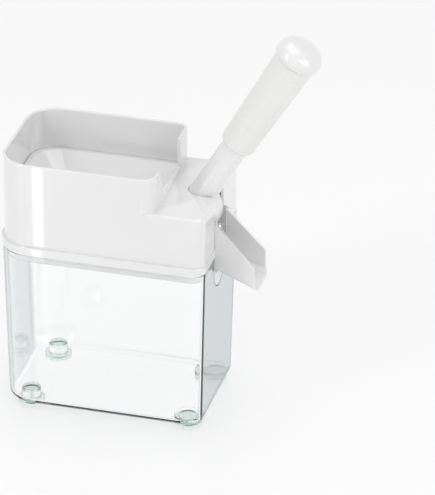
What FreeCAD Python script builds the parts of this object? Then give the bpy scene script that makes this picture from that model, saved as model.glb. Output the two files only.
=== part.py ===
"""Lever cherry pitter: clear stone container, white hopper housing, swing lever and needle.

Frame: +Z up, +X towards the chute, +Y to the back.  The functions work from the middle of the
container; main() then moves all nodes so that the origin lies on the table under the middle of
the whole object.  All sizes are millimetres.  Each function builds one node.
"""
import FreeCAD
import Part
import math
import os

V = FreeCAD.Vector

ORIGIN_X = 36.64       # the origin, right of the container's middle

# ---------------------------------------------------------------- container
RIM_X = 157.2          # container rim, outside, left to right
RIM_Y = 99.2           # container rim, outside, front to back
RIM_Z = 132.0          # height of the rim above the table
BASE_Z = 4.5           # underside of the container above the table
WALL = 2.6             # container wall
FLOOR_T = 2.6          # container floor
DRAFT = 1.1            # draft of the container walls, degrees
R_LEFT = 25.0          # plan radius of the two left corners
R_RIGHT = 10.0         # plan radius of the front right corner
R_REAR = 5.0           # plan radius of the rear right corner at the rim
R_SOLE = 5.0           # radius between the container walls and its floor
NOTCH_DEPTH = 30.0     # U notch in the right wall, below the rim
NOTCH_LOW_R = 13.0     # its round bottom
NOTCH_RISE = 9.0       # from that round's centre up to the straight sides
FOOT_D = 20.0          # feet
FOOT_PLUG_D = 14.0
FOOT_PLUG_H = 2.2
FOOT_IN_L = 21.6       # centres of the left feet, in from the rim's left end
FOOT_IN_R = 14.6       # centres of the right feet, in from the rim's right end
FOOT_IN_Y = 15.6       # centres of all feet, in from the rim's front and back
SOCKET_H = 1.8         # raised foot socket above the container floor
POST_H = 6.7           # the left sockets rise to a post
POST_D = 15.6          # top of that post

# ---------------------------------------------------------------- housing
INSET = 1.5            # housing face inside the rim's outside face
INSET_R = 0.0          # its right face
FLANGE_T = 0.7         # housing's foot flange stands out over the rim
FLANGE_H = 7.0         # top of that flange above the rim
SEAM = 0.4             # gap between rim and housing
HW = 2.4               # housing wall
DECK_H = 46.5          # top of the deck above the rim
DECK_T = 2.0
DECK_R = 2.2           # soft edge round the deck
HOP_H = 27.0           # hopper rim above the deck
HOP_X = 42.5           # outside of the hopper's right wall
HOP_R_FRONT = 12.0     # hopper's right corners
HOP_R_BACK = 8.0
SKIRT_DROP = 6.0       # skirt below the rim, inside the container
SKIRT_T = 2.0
SKIRT_TOP = 6.0        # the housing wall is thicker on the right up to here, above the rim
FIT = 0.4              # slip clearance of parts that lift apart
CUT_FRONT = -33.0      # scoop in the hopper's right wall, along Y
CUT_LOW = -22.7
CUT_BACK = 22.0
CUT_H = 7.5            # its lip at the front, above the deck
CUT_FALL = 4.0         # the lip falls by this much towards the back

# ---------------------------------------------------------------- lever
TILT = 30.6            # lever from vertical at rest, degrees
DECK_X = 67.3          # where the lever's axis crosses the deck
PIVOT_X = 43.0
PIVOT_DROP = 20.5      # pivot below the deck
SWING = 54.0           # degrees
ARM_D = 20.2
ARM_L = 47.5           # deck to grip
GRIP_L = 84.4
GRIP_D0 = 26.4
GRIP_D1 = 30.8
CAP_D = 34.6
CAP_L = 14.5
CAP_LIP = 3.0          # straight edge of the cap before its dome
CAP_PLUG_R = 10.8
CAP_PLUG_L = 10.0
SPIGOT_D = 15.0
SPIGOT_L = 58.0
CORE_D = 7.0           # steel core rod in arm and grip
FORK_GAP = 12.4        # between the two cheeks
SLOT_W = 21.2          # lever slot in deck and right wall
SLOT_GAP = 0.75        # between the slot's round end and the arm
PIVOT_D = 5.0
BOSS_R = 7.5
THROAT_R = 8.8         # clearance in the fork round the crank pin
QUAD_R = 34.9          # quadrants beside the fork that close the slot in the right wall
QUAD_IN = 14.0         # their inner end, from the pivot
SPRING_WIRE = 0.9
SPRING_R = 4.1         # mean radius of the torsion spring
SPRING_TURNS = 2
SPRING_PEG = 2.0
CRANK_STROKE = 25.0    # needle travel
CRANK_D = 5.0
RUN = 0.05             # running clearance of pins, per side

# ---------------------------------------------------------------- needle and pitting frame
NEEDLE_X = 51.0
NEEDLE_D = 6.0
CAR_W = 11.2           # carriage across
CAR_T = 3.5
CAR_GAP = 0.5          # carriage below the deck at rest, and above the stripper when down
SLOT_CLEAR = 0.4       # crank pin in the carriage slot, per side
RAIL_W = 5.2
RAIL_T = 2.4
LANE_W = 28.0          # cherry lane
FRAME_T = 2.5
FRAME_X0 = 30.0
FRAME_X1 = 73.4
CHAMBER_H = 20.5       # from the seat plate up to the stripper plate
SEAT_T = 3.0
SEAT_D = 25.0          # silicone seat, outside
SEAT_HOLE = 13.0
SEAT_H = 7.5
STRIP_T = 1.5
STRIP_BACK = 17.0      # stripper plate behind the needle
STRIP_TONGUE = 6.5     # and ahead of it
SHELF_T = 3.0
SCREW_D = 3.0
SCREW_HEAD_D = 5.6
SCREW_HEAD_H = 2.2
SCREW_BITE = 8.0       # screw into its boss
BOSS_D = 8.0
BOSS_L = 10.5
SCREW_Y = 22.0

# ---------------------------------------------------------------- feed tray
TRAY_T = 2.0
TRAY_RIM = 4.0
TRAY_DROP = 4.5        # top of the tray's rim below the deck
MOUTH_X0 = -42.0
MOUTH_DROP = 26.5      # funnel's mouth below the deck
LANE_FALL = 20.0       # fall of the lane's floor from left end to the seat

# ---------------------------------------------------------------- chute
CHUTE_W = 28.4         # outside width at the housing
CHUTE_W1 = 33.6        # and at the far end
CHUTE_T = 2.0
CHUTE_X1 = 111.4       # far end of the floor
CHUTE_STEP = 3.5       # floor's top at the housing, below the seat plate
CHUTE_SIDE_H = 38.7    # top edges above that floor, at the housing
CHUTE_TIP_RISE = 5.4   # top edges above that floor, at the far end
CHUTE_TIP_X = 109.2
CHUTE_TIP_DROP = 14.0  # underside of the tip below that floor
CHUTE_END_DROP = 9.5   # where the tip's slant starts, below that floor


# ================================================================ helpers
def rrect(x0, x1, y0, y1, radii, z):
    """Closed wire of a rounded rectangle; radii for (x0,y0) (x1,y0) (x1,y1) (x0,y1)."""
    r = [max(0.3, q) for q in radii]
    corners = [(x0 + r[0], y0 + r[0], r[0], 180), (x1 - r[1], y0 + r[1], r[1], 270),
               (x1 - r[2], y1 - r[2], r[2], 0), (x0 + r[3], y1 - r[3], r[3], 90)]
    ends = []
    arcs = []
    for cx, cy, q, a in corners:
        a0, am, a1 = (math.radians(a + d) for d in (0, 45, 90))
        p = [V(cx + q * math.cos(t), cy + q * math.sin(t), z) for t in (a0, am, a1)]
        arcs.append(Part.Arc(*p).toShape())
        ends.append((p[0], p[2]))
    edges = []
    for i in range(4):
        edges.append(arcs[i])
        edges.append(Part.LineSegment(ends[i][1], ends[(i + 1) % 4][0]).toShape())
    return Part.Wire(edges)


def rim_outline(inset, z, r_rear=None):
    """Plan outline of the rim, moved inwards by inset; r_rear is its rear right radius."""
    r_rear = max(2.0, R_REAR - inset) if r_rear is None else r_rear
    return rrect(-RIM_X / 2 + inset, RIM_X / 2 - inset, -RIM_Y / 2 + inset, RIM_Y / 2 - inset,
                 (R_LEFT - inset, R_RIGHT - inset, r_rear, R_LEFT - inset), z)


def house_outline(inset, z):
    """Plan outline of the housing's face, moved inwards by inset."""
    left = INSET + inset
    return rrect(-RIM_X / 2 + left, RIM_X / 2 - INSET_R - inset, -RIM_Y / 2 + left, RIM_Y / 2 - left,
                 (R_LEFT - left, R_RIGHT - left, max(2.0, R_REAR - left), R_LEFT - left), z)


def hopper_outline(inset, z):
    """Plan outline of the hopper, moved inwards by inset from the housing's face."""
    x0 = -RIM_X / 2 + INSET + inset
    y0 = -RIM_Y / 2 + INSET + inset
    rl = R_LEFT - INSET - inset
    return rrect(x0, HOP_X - inset, y0, -y0, (rl, HOP_R_FRONT - inset, HOP_R_BACK - inset, rl), z)


def prism(wire, height):
    return Part.Face(wire).extrude(V(0, 0, height))


def box(x0, x1, y0, y1, z0, z1):
    return Part.makeBox(x1 - x0, y1 - y0, z1 - z0, V(x0, y0, z0))


def cyl(d, p, direction, length):
    return Part.makeCylinder(d / 2.0, length, p, direction)


def plate_xz(points, y0, y1):
    """Extrude a polygon given in X and Z from y0 to y1."""
    pts = [V(x, y0, z) for x, z in points]
    return Part.Face(Part.makePolygon(pts + [pts[0]])).extrude(V(0, y1 - y0, 0))


def plate_yz(wire_edges, x0, x1):
    return Part.Face(Part.Wire(wire_edges)).extrude(V(x1 - x0, 0, 0))


def fuse(first, *others):
    return first.fuse(list(others)).removeSplitter()


def cut(first, *others):
    return first.cut(list(others)).removeSplitter()


def fillet_where(shape, radius, test):
    """Round the edges for which test(edge) holds; the radius is limited by the wall."""
    picked = [e for e in shape.Edges if test(e)]
    return shape.makeFillet(radius, picked) if picked else shape


def at_height(z, tol=0.01):
    def test(edge):
        box_ = edge.BoundBox
        return abs(box_.ZMin - z) < tol and abs(box_.ZMax - z) < tol
    return test


def capsule_xz(p, q, rp, rq, y0, y1):
    """Plate with two round ends of different radius joined by their tangents."""
    dx, dz = q[0] - p[0], q[1] - p[1]
    d = math.hypot(dx, dz)
    base = math.atan2(dz, dx)
    off = math.acos((rp - rq) / d)
    pts = []
    for c, r in ((p, rp), (q, rq)):
        for s in (1, -1):
            a = base + s * off
            pts.append((c[0] + r * math.cos(a), c[1] + r * math.sin(a)))
    hull = plate_xz([pts[0], pts[2], pts[3], pts[1]], y0, y1)
    ends = [cyl(2 * r, V(c[0], y0, c[1]), V(0, 1, 0), y1 - y0) for c, r in ((p, rp), (q, rq))]
    return fuse(hull, *ends)


def mirror_y(shape):
    return shape.mirror(V(0, 0, 0), V(0, 1, 0))


# ---------------------------------------------------------------- derived places
NOTCH_BOTTOM = RIM_Z - NOTCH_DEPTH
FOOT_XL = -RIM_X / 2 + FOOT_IN_L
FOOT_XR = RIM_X / 2 - FOOT_IN_R
FOOT_Y = RIM_Y / 2 - FOOT_IN_Y
DECK_Z = RIM_Z + DECK_H
HOP_Z = DECK_Z + HOP_H
CUT_Z = DECK_Z + CUT_H
PIVOT_Z = DECK_Z - PIVOT_DROP
TRAY_Z = DECK_Z - TRAY_DROP
MOUTH_Z = DECK_Z - MOUTH_DROP
AXIS = V(math.sin(math.radians(TILT)), 0, math.cos(math.radians(TILT)))
HALF = math.radians(SWING / 2.0)
CRANK_R = CRANK_STROKE / 2.0 / math.sin(HALF)
CRANK_X = PIVOT_X + CRANK_R * math.cos(HALF)
CRANK_Z = PIVOT_Z + CRANK_R * math.sin(HALF)
CRANK_XMAX = PIVOT_X + CRANK_R
DECK_LOW = DECK_Z - DECK_T
CAR_TOP = DECK_LOW - CAR_GAP
CAR_LOW = CAR_TOP - CAR_T
STRIP_TOP = CAR_LOW - CRANK_STROKE - CAR_GAP
SEAT_Z = STRIP_TOP - STRIP_T - CHAMBER_H
CHUTE_FLOOR = SEAT_Z - CHUTE_STEP
CHUTE_TOP_Z = CHUTE_FLOOR + CHUTE_SIDE_H
CHUTE_TIP_TOP = CHUTE_FLOOR + CHUTE_TIP_RISE
CHUTE_TIP_Z = CHUTE_FLOOR - CHUTE_TIP_DROP
CHUTE_END_Z = CHUTE_FLOOR - CHUTE_END_DROP
LANE = LANE_W / 2.0
HALL = RIM_X / 2 - INSET_R         # outside X of the housing's right face
HALL_LEFT = -RIM_X / 2 + INSET     # and of its left face
HALL_IN = HALL - HW
CAVITY_Y = RIM_Y / 2 - INSET - HW
LEDGE_Z = TRAY_Z - TRAY_T          # what the tray's rim rests on
HOUSE_Z = RIM_Z + SEAM
RAIL_X = HOP_X + 0.3
SHELF_TOP = DECK_LOW - BOSS_L
SCREWS_X = (RAIL_X + 6.0, FRAME_X1 - 4.5)
NOTCH_W = CHUTE_W + 2 * FIT
CHUTE_IN = CHUTE_W / 2 - CHUTE_T


def on_axis(s):
    """Point on the lever's axis, s above the deck."""
    return V(DECK_X, 0, DECK_Z) + AXIS * s


# ================================================================ container group
def stone_container():
    run = math.tan(math.radians(DRAFT))
    low = run * (RIM_Z - BASE_Z)
    r_low = R_SOLE + 2.5
    outer = Part.makeLoft([rim_outline(low, BASE_Z, r_low), rim_outline(0, RIM_Z)], True, True)
    outer = fillet_where(outer, R_SOLE, at_height(BASE_Z))
    z_in = BASE_Z + FLOOR_T
    low_in = run * (RIM_Z - z_in)
    inner = Part.makeLoft([rim_outline(low_in + WALL, z_in, r_low - WALL), rim_outline(WALL, RIM_Z)],
                          True, True)
    inner = fillet_where(inner, R_SOLE - 2.0, at_height(z_in))
    sockets = []
    holes = []
    for x, y in foot_places():
        sockets.append(cyl(FOOT_D + 0.4, V(x, y, z_in - 1), V(0, 0, 1), 1 + SOCKET_H))
        if x < 0:
            sockets.append(Part.makeCone(FOOT_D / 2 + 0.2, POST_D / 2, POST_H - SOCKET_H,
                                         V(x, y, z_in + SOCKET_H), V(0, 0, 1)))
        holes.append(cyl(FOOT_PLUG_D + 2 * RUN, V(x, y, BASE_Z - 1), V(0, 0, 1), 1 + FOOT_PLUG_H + 0.2))
    body = cut(outer, inner)
    body = fuse(body, *sockets)
    body = cut(body, *holes)
    return cut(body, notch_form(RIM_X / 2 - 12, RIM_X / 2 + 6, 0))


def notch_form(x0, x1, grow):
    """U of the notch from x0 to x1: a round bottom that widens up to straight sides."""
    z_low = NOTCH_BOTTOM + NOTCH_LOW_R
    half = NOTCH_W / 2 + grow
    u = capsule_xz((0, z_low), (0, z_low + NOTCH_RISE), NOTCH_LOW_R + grow, half, -x1, -x0)
    u.rotate(V(0, 0, 0), V(0, 0, 1), 90)
    return fuse(u, box(x0, x1, -half, half, z_low + NOTCH_RISE, RIM_Z + 1))


def foot_places():
    return [(FOOT_XL, -FOOT_Y), (FOOT_XR, -FOOT_Y), (FOOT_XR, FOOT_Y), (FOOT_XL, FOOT_Y)]


def foot(x, y):
    """Soft clear foot: a pad with a stepped rim and a plug for its socket."""
    pad = cyl(FOOT_D, V(x, y, 0), V(0, 0, 1), BASE_Z)
    pad = fillet_where(pad, 1.0, at_height(0))
    plug = cyl(FOOT_PLUG_D, V(x, y, BASE_Z - 0.1), V(0, 0, 1), FOOT_PLUG_H + 0.1)
    hollow = cyl(FOOT_D - 8.0, V(x, y, -0.1), V(0, 0, 1), 1.3)
    return cut(fuse(pad, plug), hollow)


# ================================================================ housing group
def housing():
    low = prism(house_outline(0, HOUSE_Z), DECK_Z - HOUSE_Z)
    low = fillet_where(low, DECK_R, at_height(DECK_Z))
    flange = prism(rim_outline(-FLANGE_T, HOUSE_Z), FLANGE_H - SEAM)
    flange = fillet_where(flange, FLANGE_T - 0.2, at_height(RIM_Z + FLANGE_H))
    hop = prism(hopper_outline(0, HOUSE_Z), HOP_Z - HOUSE_Z)
    body = fuse(low, flange, hop)
    # the right wall is thicker at its foot, where it takes the skirt
    z_foot = RIM_Z + SKIRT_TOP
    foot_cavity = prism(rim_outline(INSET + HW, HOUSE_Z - 1), z_foot - HOUSE_Z + 1)
    lower_cavity = prism(house_outline(HW, z_foot - 0.5), LEDGE_Z - z_foot + 0.5)
    right_cavity = prism(house_outline(HW, LEDGE_Z - 0.5), DECK_LOW - LEDGE_Z + 0.5)
    right_cavity = right_cavity.common(box(HOP_X, RIM_X, -RIM_Y, RIM_Y, LEDGE_Z - 1, DECK_Z))
    hopper_cavity = prism(hopper_outline(HW, LEDGE_Z - 0.5), HOP_Z - LEDGE_Z + 2)
    lower_cavity = lower_cavity.cut(box(HALL_IN - 10, RIM_X, -RIM_Y, RIM_Y, z_foot - 1, z_foot))
    body = cut(body, foot_cavity, lower_cavity, right_cavity, hopper_cavity)
    skirt_in = WALL + FIT + 0.1
    skirt = cut(prism(rim_outline(skirt_in, RIM_Z - SKIRT_DROP), SKIRT_DROP + 3.0),
                prism(rim_outline(skirt_in + SKIRT_T, RIM_Z - SKIRT_DROP - 1), SKIRT_DROP + 5.0))
    body = fuse(body, skirt)
    # ribs that carry the feed tray
    ribs = []
    x_left = HALL_LEFT + HW
    for y in (-15.0, 15.0):
        ribs.append(plate_xz([(x_left - 0.5, LEDGE_Z), (x_left + TRAY_RIM - 1, LEDGE_Z),
                              (x_left - 0.5, LEDGE_Z - 9)], y - 1, y + 1))
    for x in (-45.0, 0.0):
        for s in (-1, 1):
            tri = [V(x - 1, s * (CAVITY_Y + 0.5), LEDGE_Z),
                   V(x - 1, s * (CAVITY_Y - TRAY_RIM + 1), LEDGE_Z),
                   V(x - 1, s * (CAVITY_Y + 0.5), LEDGE_Z - 9)]
            ribs.append(Part.Face(Part.makePolygon(tri + [tri[0]])).extrude(V(2, 0, 0)))
    bosses = [cyl(BOSS_D, V(x, s * SCREW_Y, SHELF_TOP), V(0, 0, 1), BOSS_L + 0.5)
              for x in SCREWS_X for s in (-1, 1)]
    body = fuse(body, *(ribs + bosses))
    pilots = [cyl(SCREW_D, V(x, s * SCREW_Y, SHELF_TOP - 1), V(0, 0, 1), SCREW_BITE + 2.0)
              for x in SCREWS_X for s in (-1, 1)]
    # lever slot through deck and right wall, chute opening, hopper scoop
    w = SLOT_W / 2.0
    slot = fuse(box(DECK_X, RIM_X, -w, w, CHUTE_TOP_Z - 1, DECK_Z + 1),
                Part.makeCylinder(ARM_D / 2 + SLOT_GAP, 20.0, on_axis(-10.0), AXIS))
    w = CHUTE_W / 2 + FIT
    opening = box(HALL - 8, RIM_X, -w, w, RIM_Z - SKIRT_DROP - 1, CHUTE_TOP_Z)
    return cut(body, slot, opening, hopper_scoop(), *pilots)


def hopper_scoop():
    """Hand scoop in the hopper's right wall: curved at the front, a falling lip, upright at the back."""
    x0, x1 = HOP_X - HW - 2, HOP_X + 2
    top = HOP_Z + 1
    a, b = V(x0, CUT_FRONT, top), V(x0, CUT_LOW, CUT_Z)
    mid = V(x0, CUT_FRONT + 0.42 * (CUT_LOW - CUT_FRONT), CUT_Z + 0.42 * (top - CUT_Z))
    c, d = V(x0, CUT_BACK, CUT_Z - CUT_FALL), V(x0, CUT_BACK, top)
    edges = [Part.Arc(a, mid, b).toShape(), Part.LineSegment(b, c).toShape(),
             Part.LineSegment(c, d).toShape(), Part.LineSegment(d, a).toShape()]
    return plate_yz(edges, x0, x1)


def feed_tray():
    """Funnel floor of the hopper with the sunken cherry lane."""
    gap = HW + 0.3
    rim = cut(prism(hopper_outline(gap, LEDGE_Z), TRAY_T),
              prism(hopper_outline(gap + TRAY_RIM, LEDGE_Z - 1), TRAY_T + 2))
    mouth_x1 = FRAME_X0 - 1.0
    y = LANE

    def funnel(extra):
        top = hopper_outline(gap + TRAY_RIM - extra, TRAY_Z)
        low = rrect(MOUTH_X0 - extra, mouth_x1 + extra, -y - extra, y + extra, (3 + extra,) * 4, MOUTH_Z)
        return Part.makeLoft([low, top], True, True)
    # lane: a trough whose floor falls towards the seat
    z_left = SEAT_Z + LANE_FALL
    z_right = SEAT_Z + 1.0
    x_l, x_r = MOUTH_X0, FRAME_X0
    lane_out = plate_xz([(x_l - TRAY_T, MOUTH_Z), (x_l - TRAY_T, z_left - TRAY_T), (x_r, z_right - TRAY_T),
                         (x_r, MOUTH_Z)], -y - TRAY_T, y + TRAY_T)
    lane_in = plate_xz([(x_l, MOUTH_Z + 1), (x_l, z_left), (x_r + 3, z_right - 0.3),
                        (x_r + 3, MOUTH_Z + 1)], -y, y)
    body = fuse(rim, funnel(TRAY_T), lane_out)
    return cut(body, funnel(0), lane_in)


def pitting_frame():
    """Two side cheeks, seat plate, shelf with screw eyes and the carriage's guide rail."""
    t = FRAME_T
    y0 = LANE
    base = SEAT_Z - SEAT_T
    prof = [(FRAME_X0, base), (FRAME_X0, MOUTH_Z - 2.5), (FRAME_X0 + 4.5, MOUTH_Z - 0.5),
            (RAIL_X, LEDGE_Z - 1), (RAIL_X, DECK_LOW), (FRAME_X1, DECK_LOW), (FRAME_X1, base)]
    side = plate_xz(prof, y0, y0 + t)
    shelf = box(RAIL_X, FRAME_X1, y0, SCREW_Y + BOSS_D / 2 + 1, SHELF_TOP - SHELF_T, SHELF_TOP)
    half = fuse(side, shelf)
    z_strip = STRIP_TOP - STRIP_T
    ledge = box(NEEDLE_X - STRIP_BACK - 1, NEEDLE_X - 2, y0 - 1.5, y0 + 1, z_strip - 2, z_strip)
    half = fuse(half, ledge)
    floor = plate_xz([(FRAME_X0, base), (FRAME_X0, SEAT_Z), (NEEDLE_X + SEAT_D / 2 + 1, SEAT_Z),
                      (FRAME_X1, CHUTE_FLOOR + 0.6), (FRAME_X1, base - 1.2),
                      (NEEDLE_X + SEAT_D / 2 + 2, base)], -y0 - t, y0 + t)
    rail = box(RAIL_X, RAIL_X + RAIL_T, -RAIL_W / 2, RAIL_W / 2, STRIP_TOP, DECK_LOW)
    peg = cyl(SPRING_PEG, V(PIVOT_X + SPRING_R - SPRING_WIRE / 2 - SPRING_PEG / 2 - 0.1, y0 + 0.5,
                            PIVOT_Z - BOSS_R + 0.4), V(0, -1, 0), 0.5 + SPRING_WIRE + 0.9)
    body = fuse(half, mirror_y(half), floor, peg)
    holes = [cyl(SEAT_D - 2.4 + 2 * RUN, V(NEEDLE_X, 0, base - 2), V(0, 0, 1), SEAT_T + 4)]
    for s in (-1, 1):
        holes.append(cyl(PIVOT_D, V(PIVOT_X, s * (y0 - 1), PIVOT_Z), V(0, s, 0), t + 2))
        for x in SCREWS_X:
            p = V(x, s * SCREW_Y, SHELF_TOP - SHELF_T - 1)
            holes.append(cyl(SCREW_D + 0.4, p, V(0, 0, 1), SHELF_T + 2))
    return cut(body, *holes), rail


def cherry_seat():
    """Soft cup with a flange: the cherry sits in it and the stone is pushed through."""
    r, f = SEAT_D / 2.0 - 1.2, SEAT_D / 2.0
    z = SEAT_Z
    h = SEAT_HOLE / 2.0
    b = z - SEAT_H
    pts = [V(f, 0, z), V(f, 0, z + 1.0), V(r - 1.4, 0, z + 1.0), V(h + 1.6, 0, b + 3.0), V(h, 0, b + 2),
           V(h, 0, b), V(h + 2.2, 0, b), V(r, 0, z - SEAT_T + 0.2), V(r, 0, z)]
    face = Part.Face(Part.makePolygon(pts + [pts[0]]))
    ring = face.revolve(V(0, 0, 0), V(0, 0, 1), 360)
    slits = [box(-0.25, 0.25, h - 0.5, h + 3.0, z - SEAT_H - 1, z - SEAT_H + 3.4) for _ in range(6)]
    for i, s in enumerate(slits):
        s.rotate(V(0, 0, 0), V(0, 0, 1), 60 * i)
    ring = ring.cut(slits)
    ring.translate(V(NEEDLE_X, 0, 0))
    return ring


def stripper_plate():
    """Steel plate that wipes the cherry off the needle; its tongue clears the lever's fork."""
    z0 = STRIP_TOP - STRIP_T
    wide = box(NEEDLE_X - STRIP_BACK, NEEDLE_X - STRIP_T, -LANE, LANE, z0, STRIP_TOP)
    tongue = box(NEEDLE_X - 4, NEEDLE_X + STRIP_TONGUE, -CAR_W / 2 + 0.2, CAR_W / 2 - 0.2, z0, STRIP_TOP)
    plate = fuse(wide, tongue)
    return cut(plate, cyl(NEEDLE_D + 0.8, V(NEEDLE_X, 0, z0 - 1), V(0, 0, 1), STRIP_T + 2))


def frame_screws():
    out = []
    for x in SCREWS_X:
        for s in (-1, 1):
            y = s * SCREW_Y
            head = cyl(SCREW_HEAD_D, V(x, y, SHELF_TOP - SHELF_T - SCREW_HEAD_H), V(0, 0, 1), SCREW_HEAD_H)
            shank = cyl(SCREW_D, V(x, y, SHELF_TOP - SHELF_T - 0.1), V(0, 0, 1), SHELF_T + SCREW_BITE)
            cross = [box(-1.4, 1.4, -0.35, 0.35, 0, 1.1), box(-0.35, 0.35, -1.4, 1.4, 0, 1.1)]
            for c in cross:
                c.translate(V(x, y, SHELF_TOP - SHELF_T - SCREW_HEAD_H - 0.1))
            out.append(cut(fuse(head, shank), *cross))
    return Part.Compound(out)


def pivot_pin(side):
    """Headed steel pin through a frame cheek into the lever's fork cheek."""
    y_in = FORK_GAP / 2 + 0.3
    y_out = LANE + FRAME_T
    pin = cyl(PIVOT_D, V(PIVOT_X, side * y_in, PIVOT_Z), V(0, side, 0), y_out - y_in + 0.2)
    head = cyl(PIVOT_D + 3, V(PIVOT_X, side * y_out, PIVOT_Z), V(0, side, 0), 1.4)
    return fuse(pin, head)


def flare(x_a, w_a, x_b, w_b):
    """Tall prism that widens from half width w_a at x_a to w_b at x_b, and on at both ends."""
    k = (w_b - w_a) / (x_b - x_a)
    lo, hi = x_a - 2, x_b + 12
    wide = [(x, w_a + k * (x - x_a)) for x in (lo, hi)]
    pts = [V(x, -y, 0) for x, y in wide] + [V(x, y, 0) for x, y in reversed(wide)]
    return Part.Face(Part.makePolygon(pts + [pts[0]])).extrude(V(0, 0, HOP_Z))


def chute():
    """U-section spout with a tongue that fills the container's notch."""
    x0 = HALL + 0.3
    w = CHUTE_W / 2.0
    w1 = CHUTE_W1 / 2.0
    under = CHUTE_FLOOR - CHUTE_T
    side = [(x0, CHUTE_TOP_Z), (CHUTE_TIP_X, CHUTE_TIP_TOP), (CHUTE_TIP_X, CHUTE_END_Z),
            (CHUTE_X1, CHUTE_TIP_Z), (x0, under)]
    outer = plate_xz(side, -w1 - 1, w1 + 1).common(flare(x0, w, CHUTE_X1, w1))
    outer = fillet_where(outer, 5.0, lambda e: abs(e.CenterOfMass.y) > w - 0.1
                         and e.BoundBox.XMax - e.BoundBox.XMin > 12 and e.CenterOfMass.z < CHUTE_FLOOR)
    fall = (CHUTE_FLOOR + 0.5 - CHUTE_TIP_Z - CHUTE_T) / (CHUTE_X1 - x0 + 1)
    inner = plate_xz([(x0 - 1, CHUTE_TOP_Z + 5), (CHUTE_X1 + 9, CHUTE_TOP_Z + 5),
                      (CHUTE_X1 + 9, CHUTE_TIP_Z + CHUTE_T - 9 * fall), (x0 - 1, CHUTE_FLOOR + 0.5)],
                     -w1 - 4, w1 + 4)
    inner = inner.common(flare(x0, CHUTE_IN, CHUTE_X1, w1 - CHUTE_T))
    inner = fillet_where(inner, 3.4, lambda e: abs(e.CenterOfMass.y) > CHUTE_IN - 0.1
                         and e.BoundBox.XMax - e.BoundBox.XMin > 12 and e.CenterOfMass.z < CHUTE_FLOOR)
    spout = cut(outer, inner)
    x_in = FRAME_X1 + 0.3
    neck = plate_xz([(x_in, CHUTE_FLOOR - CHUTE_T), (x_in, CHUTE_FLOOR + 0.4), (x0 + 1, CHUTE_FLOOR),
                     (x0 + 1, CHUTE_FLOOR - CHUTE_T)], -w + 0.8, w - 0.8)
    cheek = box(HALL - HW - 0.2, x0 + 1, w - CHUTE_T, w, CHUTE_FLOOR - 0.4, CHUTE_TOP_Z - 1.0)
    cheeks = [cheek, mirror_y(cheek)]
    tongue_x = RIM_X / 2 - WALL + 0.1
    tongue = notch_form(tongue_x, tongue_x + CHUTE_T, -FIT)
    tongue = tongue.cut(box(tongue_x - 1, tongue_x + 5, -w - 1, w + 1, CHUTE_FLOOR - 0.5, CHUTE_TOP_Z + 1))
    return fuse(spout, neck, tongue, *cheeks)


# ================================================================ lever group
def lever_arm():
    """Arm with its fork: two cheeks with pivot bores and crank eyes, and a spigot for the grip."""
    r = ARM_D / 2.0
    g = FORK_GAP / 2.0
    arm = Part.makeCylinder(r, ARM_L + 26.0, on_axis(-26.0), AXIS)
    arm = arm.cut(box(0, RIM_X, -RIM_Y, RIM_Y, PIVOT_Z - 60, CRANK_Z - CRANK_D))
    cheeks = capsule_xz((PIVOT_X, PIVOT_Z), (CRANK_X, CRANK_Z), BOSS_R, CRANK_D / 2 + 3.0, g, r)
    # flare that carries the cheek into the arm
    flare = plate_xz([(CRANK_X - 12.5, CRANK_Z - 2.0), (CRANK_X + 5.0, CRANK_Z - 2.0),
                      (CRANK_X + 6.0, DECK_LOW - 0.4), (DECK_X - r, DECK_LOW - 0.4)], g, r - 1.2)
    # quadrant that follows the right wall's slot
    sector = cyl(2 * QUAD_R, V(PIVOT_X, g, PIVOT_Z), V(0, 1, 0), r - g)
    sector = sector.common(plate_xz([(PIVOT_X + QUAD_IN, PIVOT_Z), (PIVOT_X + QUAD_R + 2, PIVOT_Z),
                                     (PIVOT_X + QUAD_R + 2, DECK_LOW), (DECK_X - 4, DECK_LOW),
                                     (CRANK_X - 4, CRANK_Z)], g, r))
    peg = cyl(SPRING_PEG, V(PIVOT_X + SPRING_R - SPRING_WIRE / 2 - SPRING_PEG / 2 - 0.1, r - 1,
                            PIVOT_Z + BOSS_R - 1.4), V(0, 1, 0), 1 + SPRING_WIRE + 0.5)
    body = fuse(arm, cheeks, mirror_y(cheeks), flare, mirror_y(flare), sector, mirror_y(sector), peg)
    body = cut(body, box(0, RIM_X, -g, g, PIVOT_Z - 60, DECK_Z - 0.5),
               cyl(2 * THROAT_R, V(CRANK_X, -g, CRANK_Z), V(0, 1, 0), 2 * g))
    spigot = Part.makeCylinder(SPIGOT_D / 2.0, SPIGOT_L, on_axis(ARM_L - 0.1), AXIS)
    body = fuse(body, spigot)
    bores = [cyl(PIVOT_D + 2 * RUN, V(PIVOT_X, -RIM_Y / 2, PIVOT_Z), V(0, 1, 0), RIM_Y),
             cyl(CRANK_D, V(CRANK_X, -RIM_Y / 2, CRANK_Z), V(0, 1, 0), RIM_Y),
             Part.makeCylinder(CORE_D / 2.0, ARM_L + SPIGOT_L, on_axis(14.0), AXIS)]
    return cut(body, *bores)


def crank_pin():
    w = ARM_D - 0.6
    return cyl(CRANK_D, V(CRANK_X, -w / 2, CRANK_Z), V(0, 1, 0), w)


def lever_core():
    """Steel rod inside arm and spigot."""
    return Part.makeCylinder(CORE_D / 2.0, ARM_L + SPIGOT_L - 18.0, on_axis(14.0), AXIS)


def revolve_on_axis(points, start):
    """Revolve a half profile (radius, height) and stand it on the lever's axis at start."""
    pts = [V(q[0], 0, q[1]) for q in points]
    solid = Part.Face(Part.makePolygon(pts + [pts[0]])).revolve(V(0, 0, 0), V(0, 0, 1), 360)
    solid = Part.Solid(solid) if solid.ShapeType != "Solid" else solid
    solid.rotate(V(0, 0, 0), V(0, 1, 0), TILT)
    solid.translate(on_axis(start))
    return solid


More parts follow.
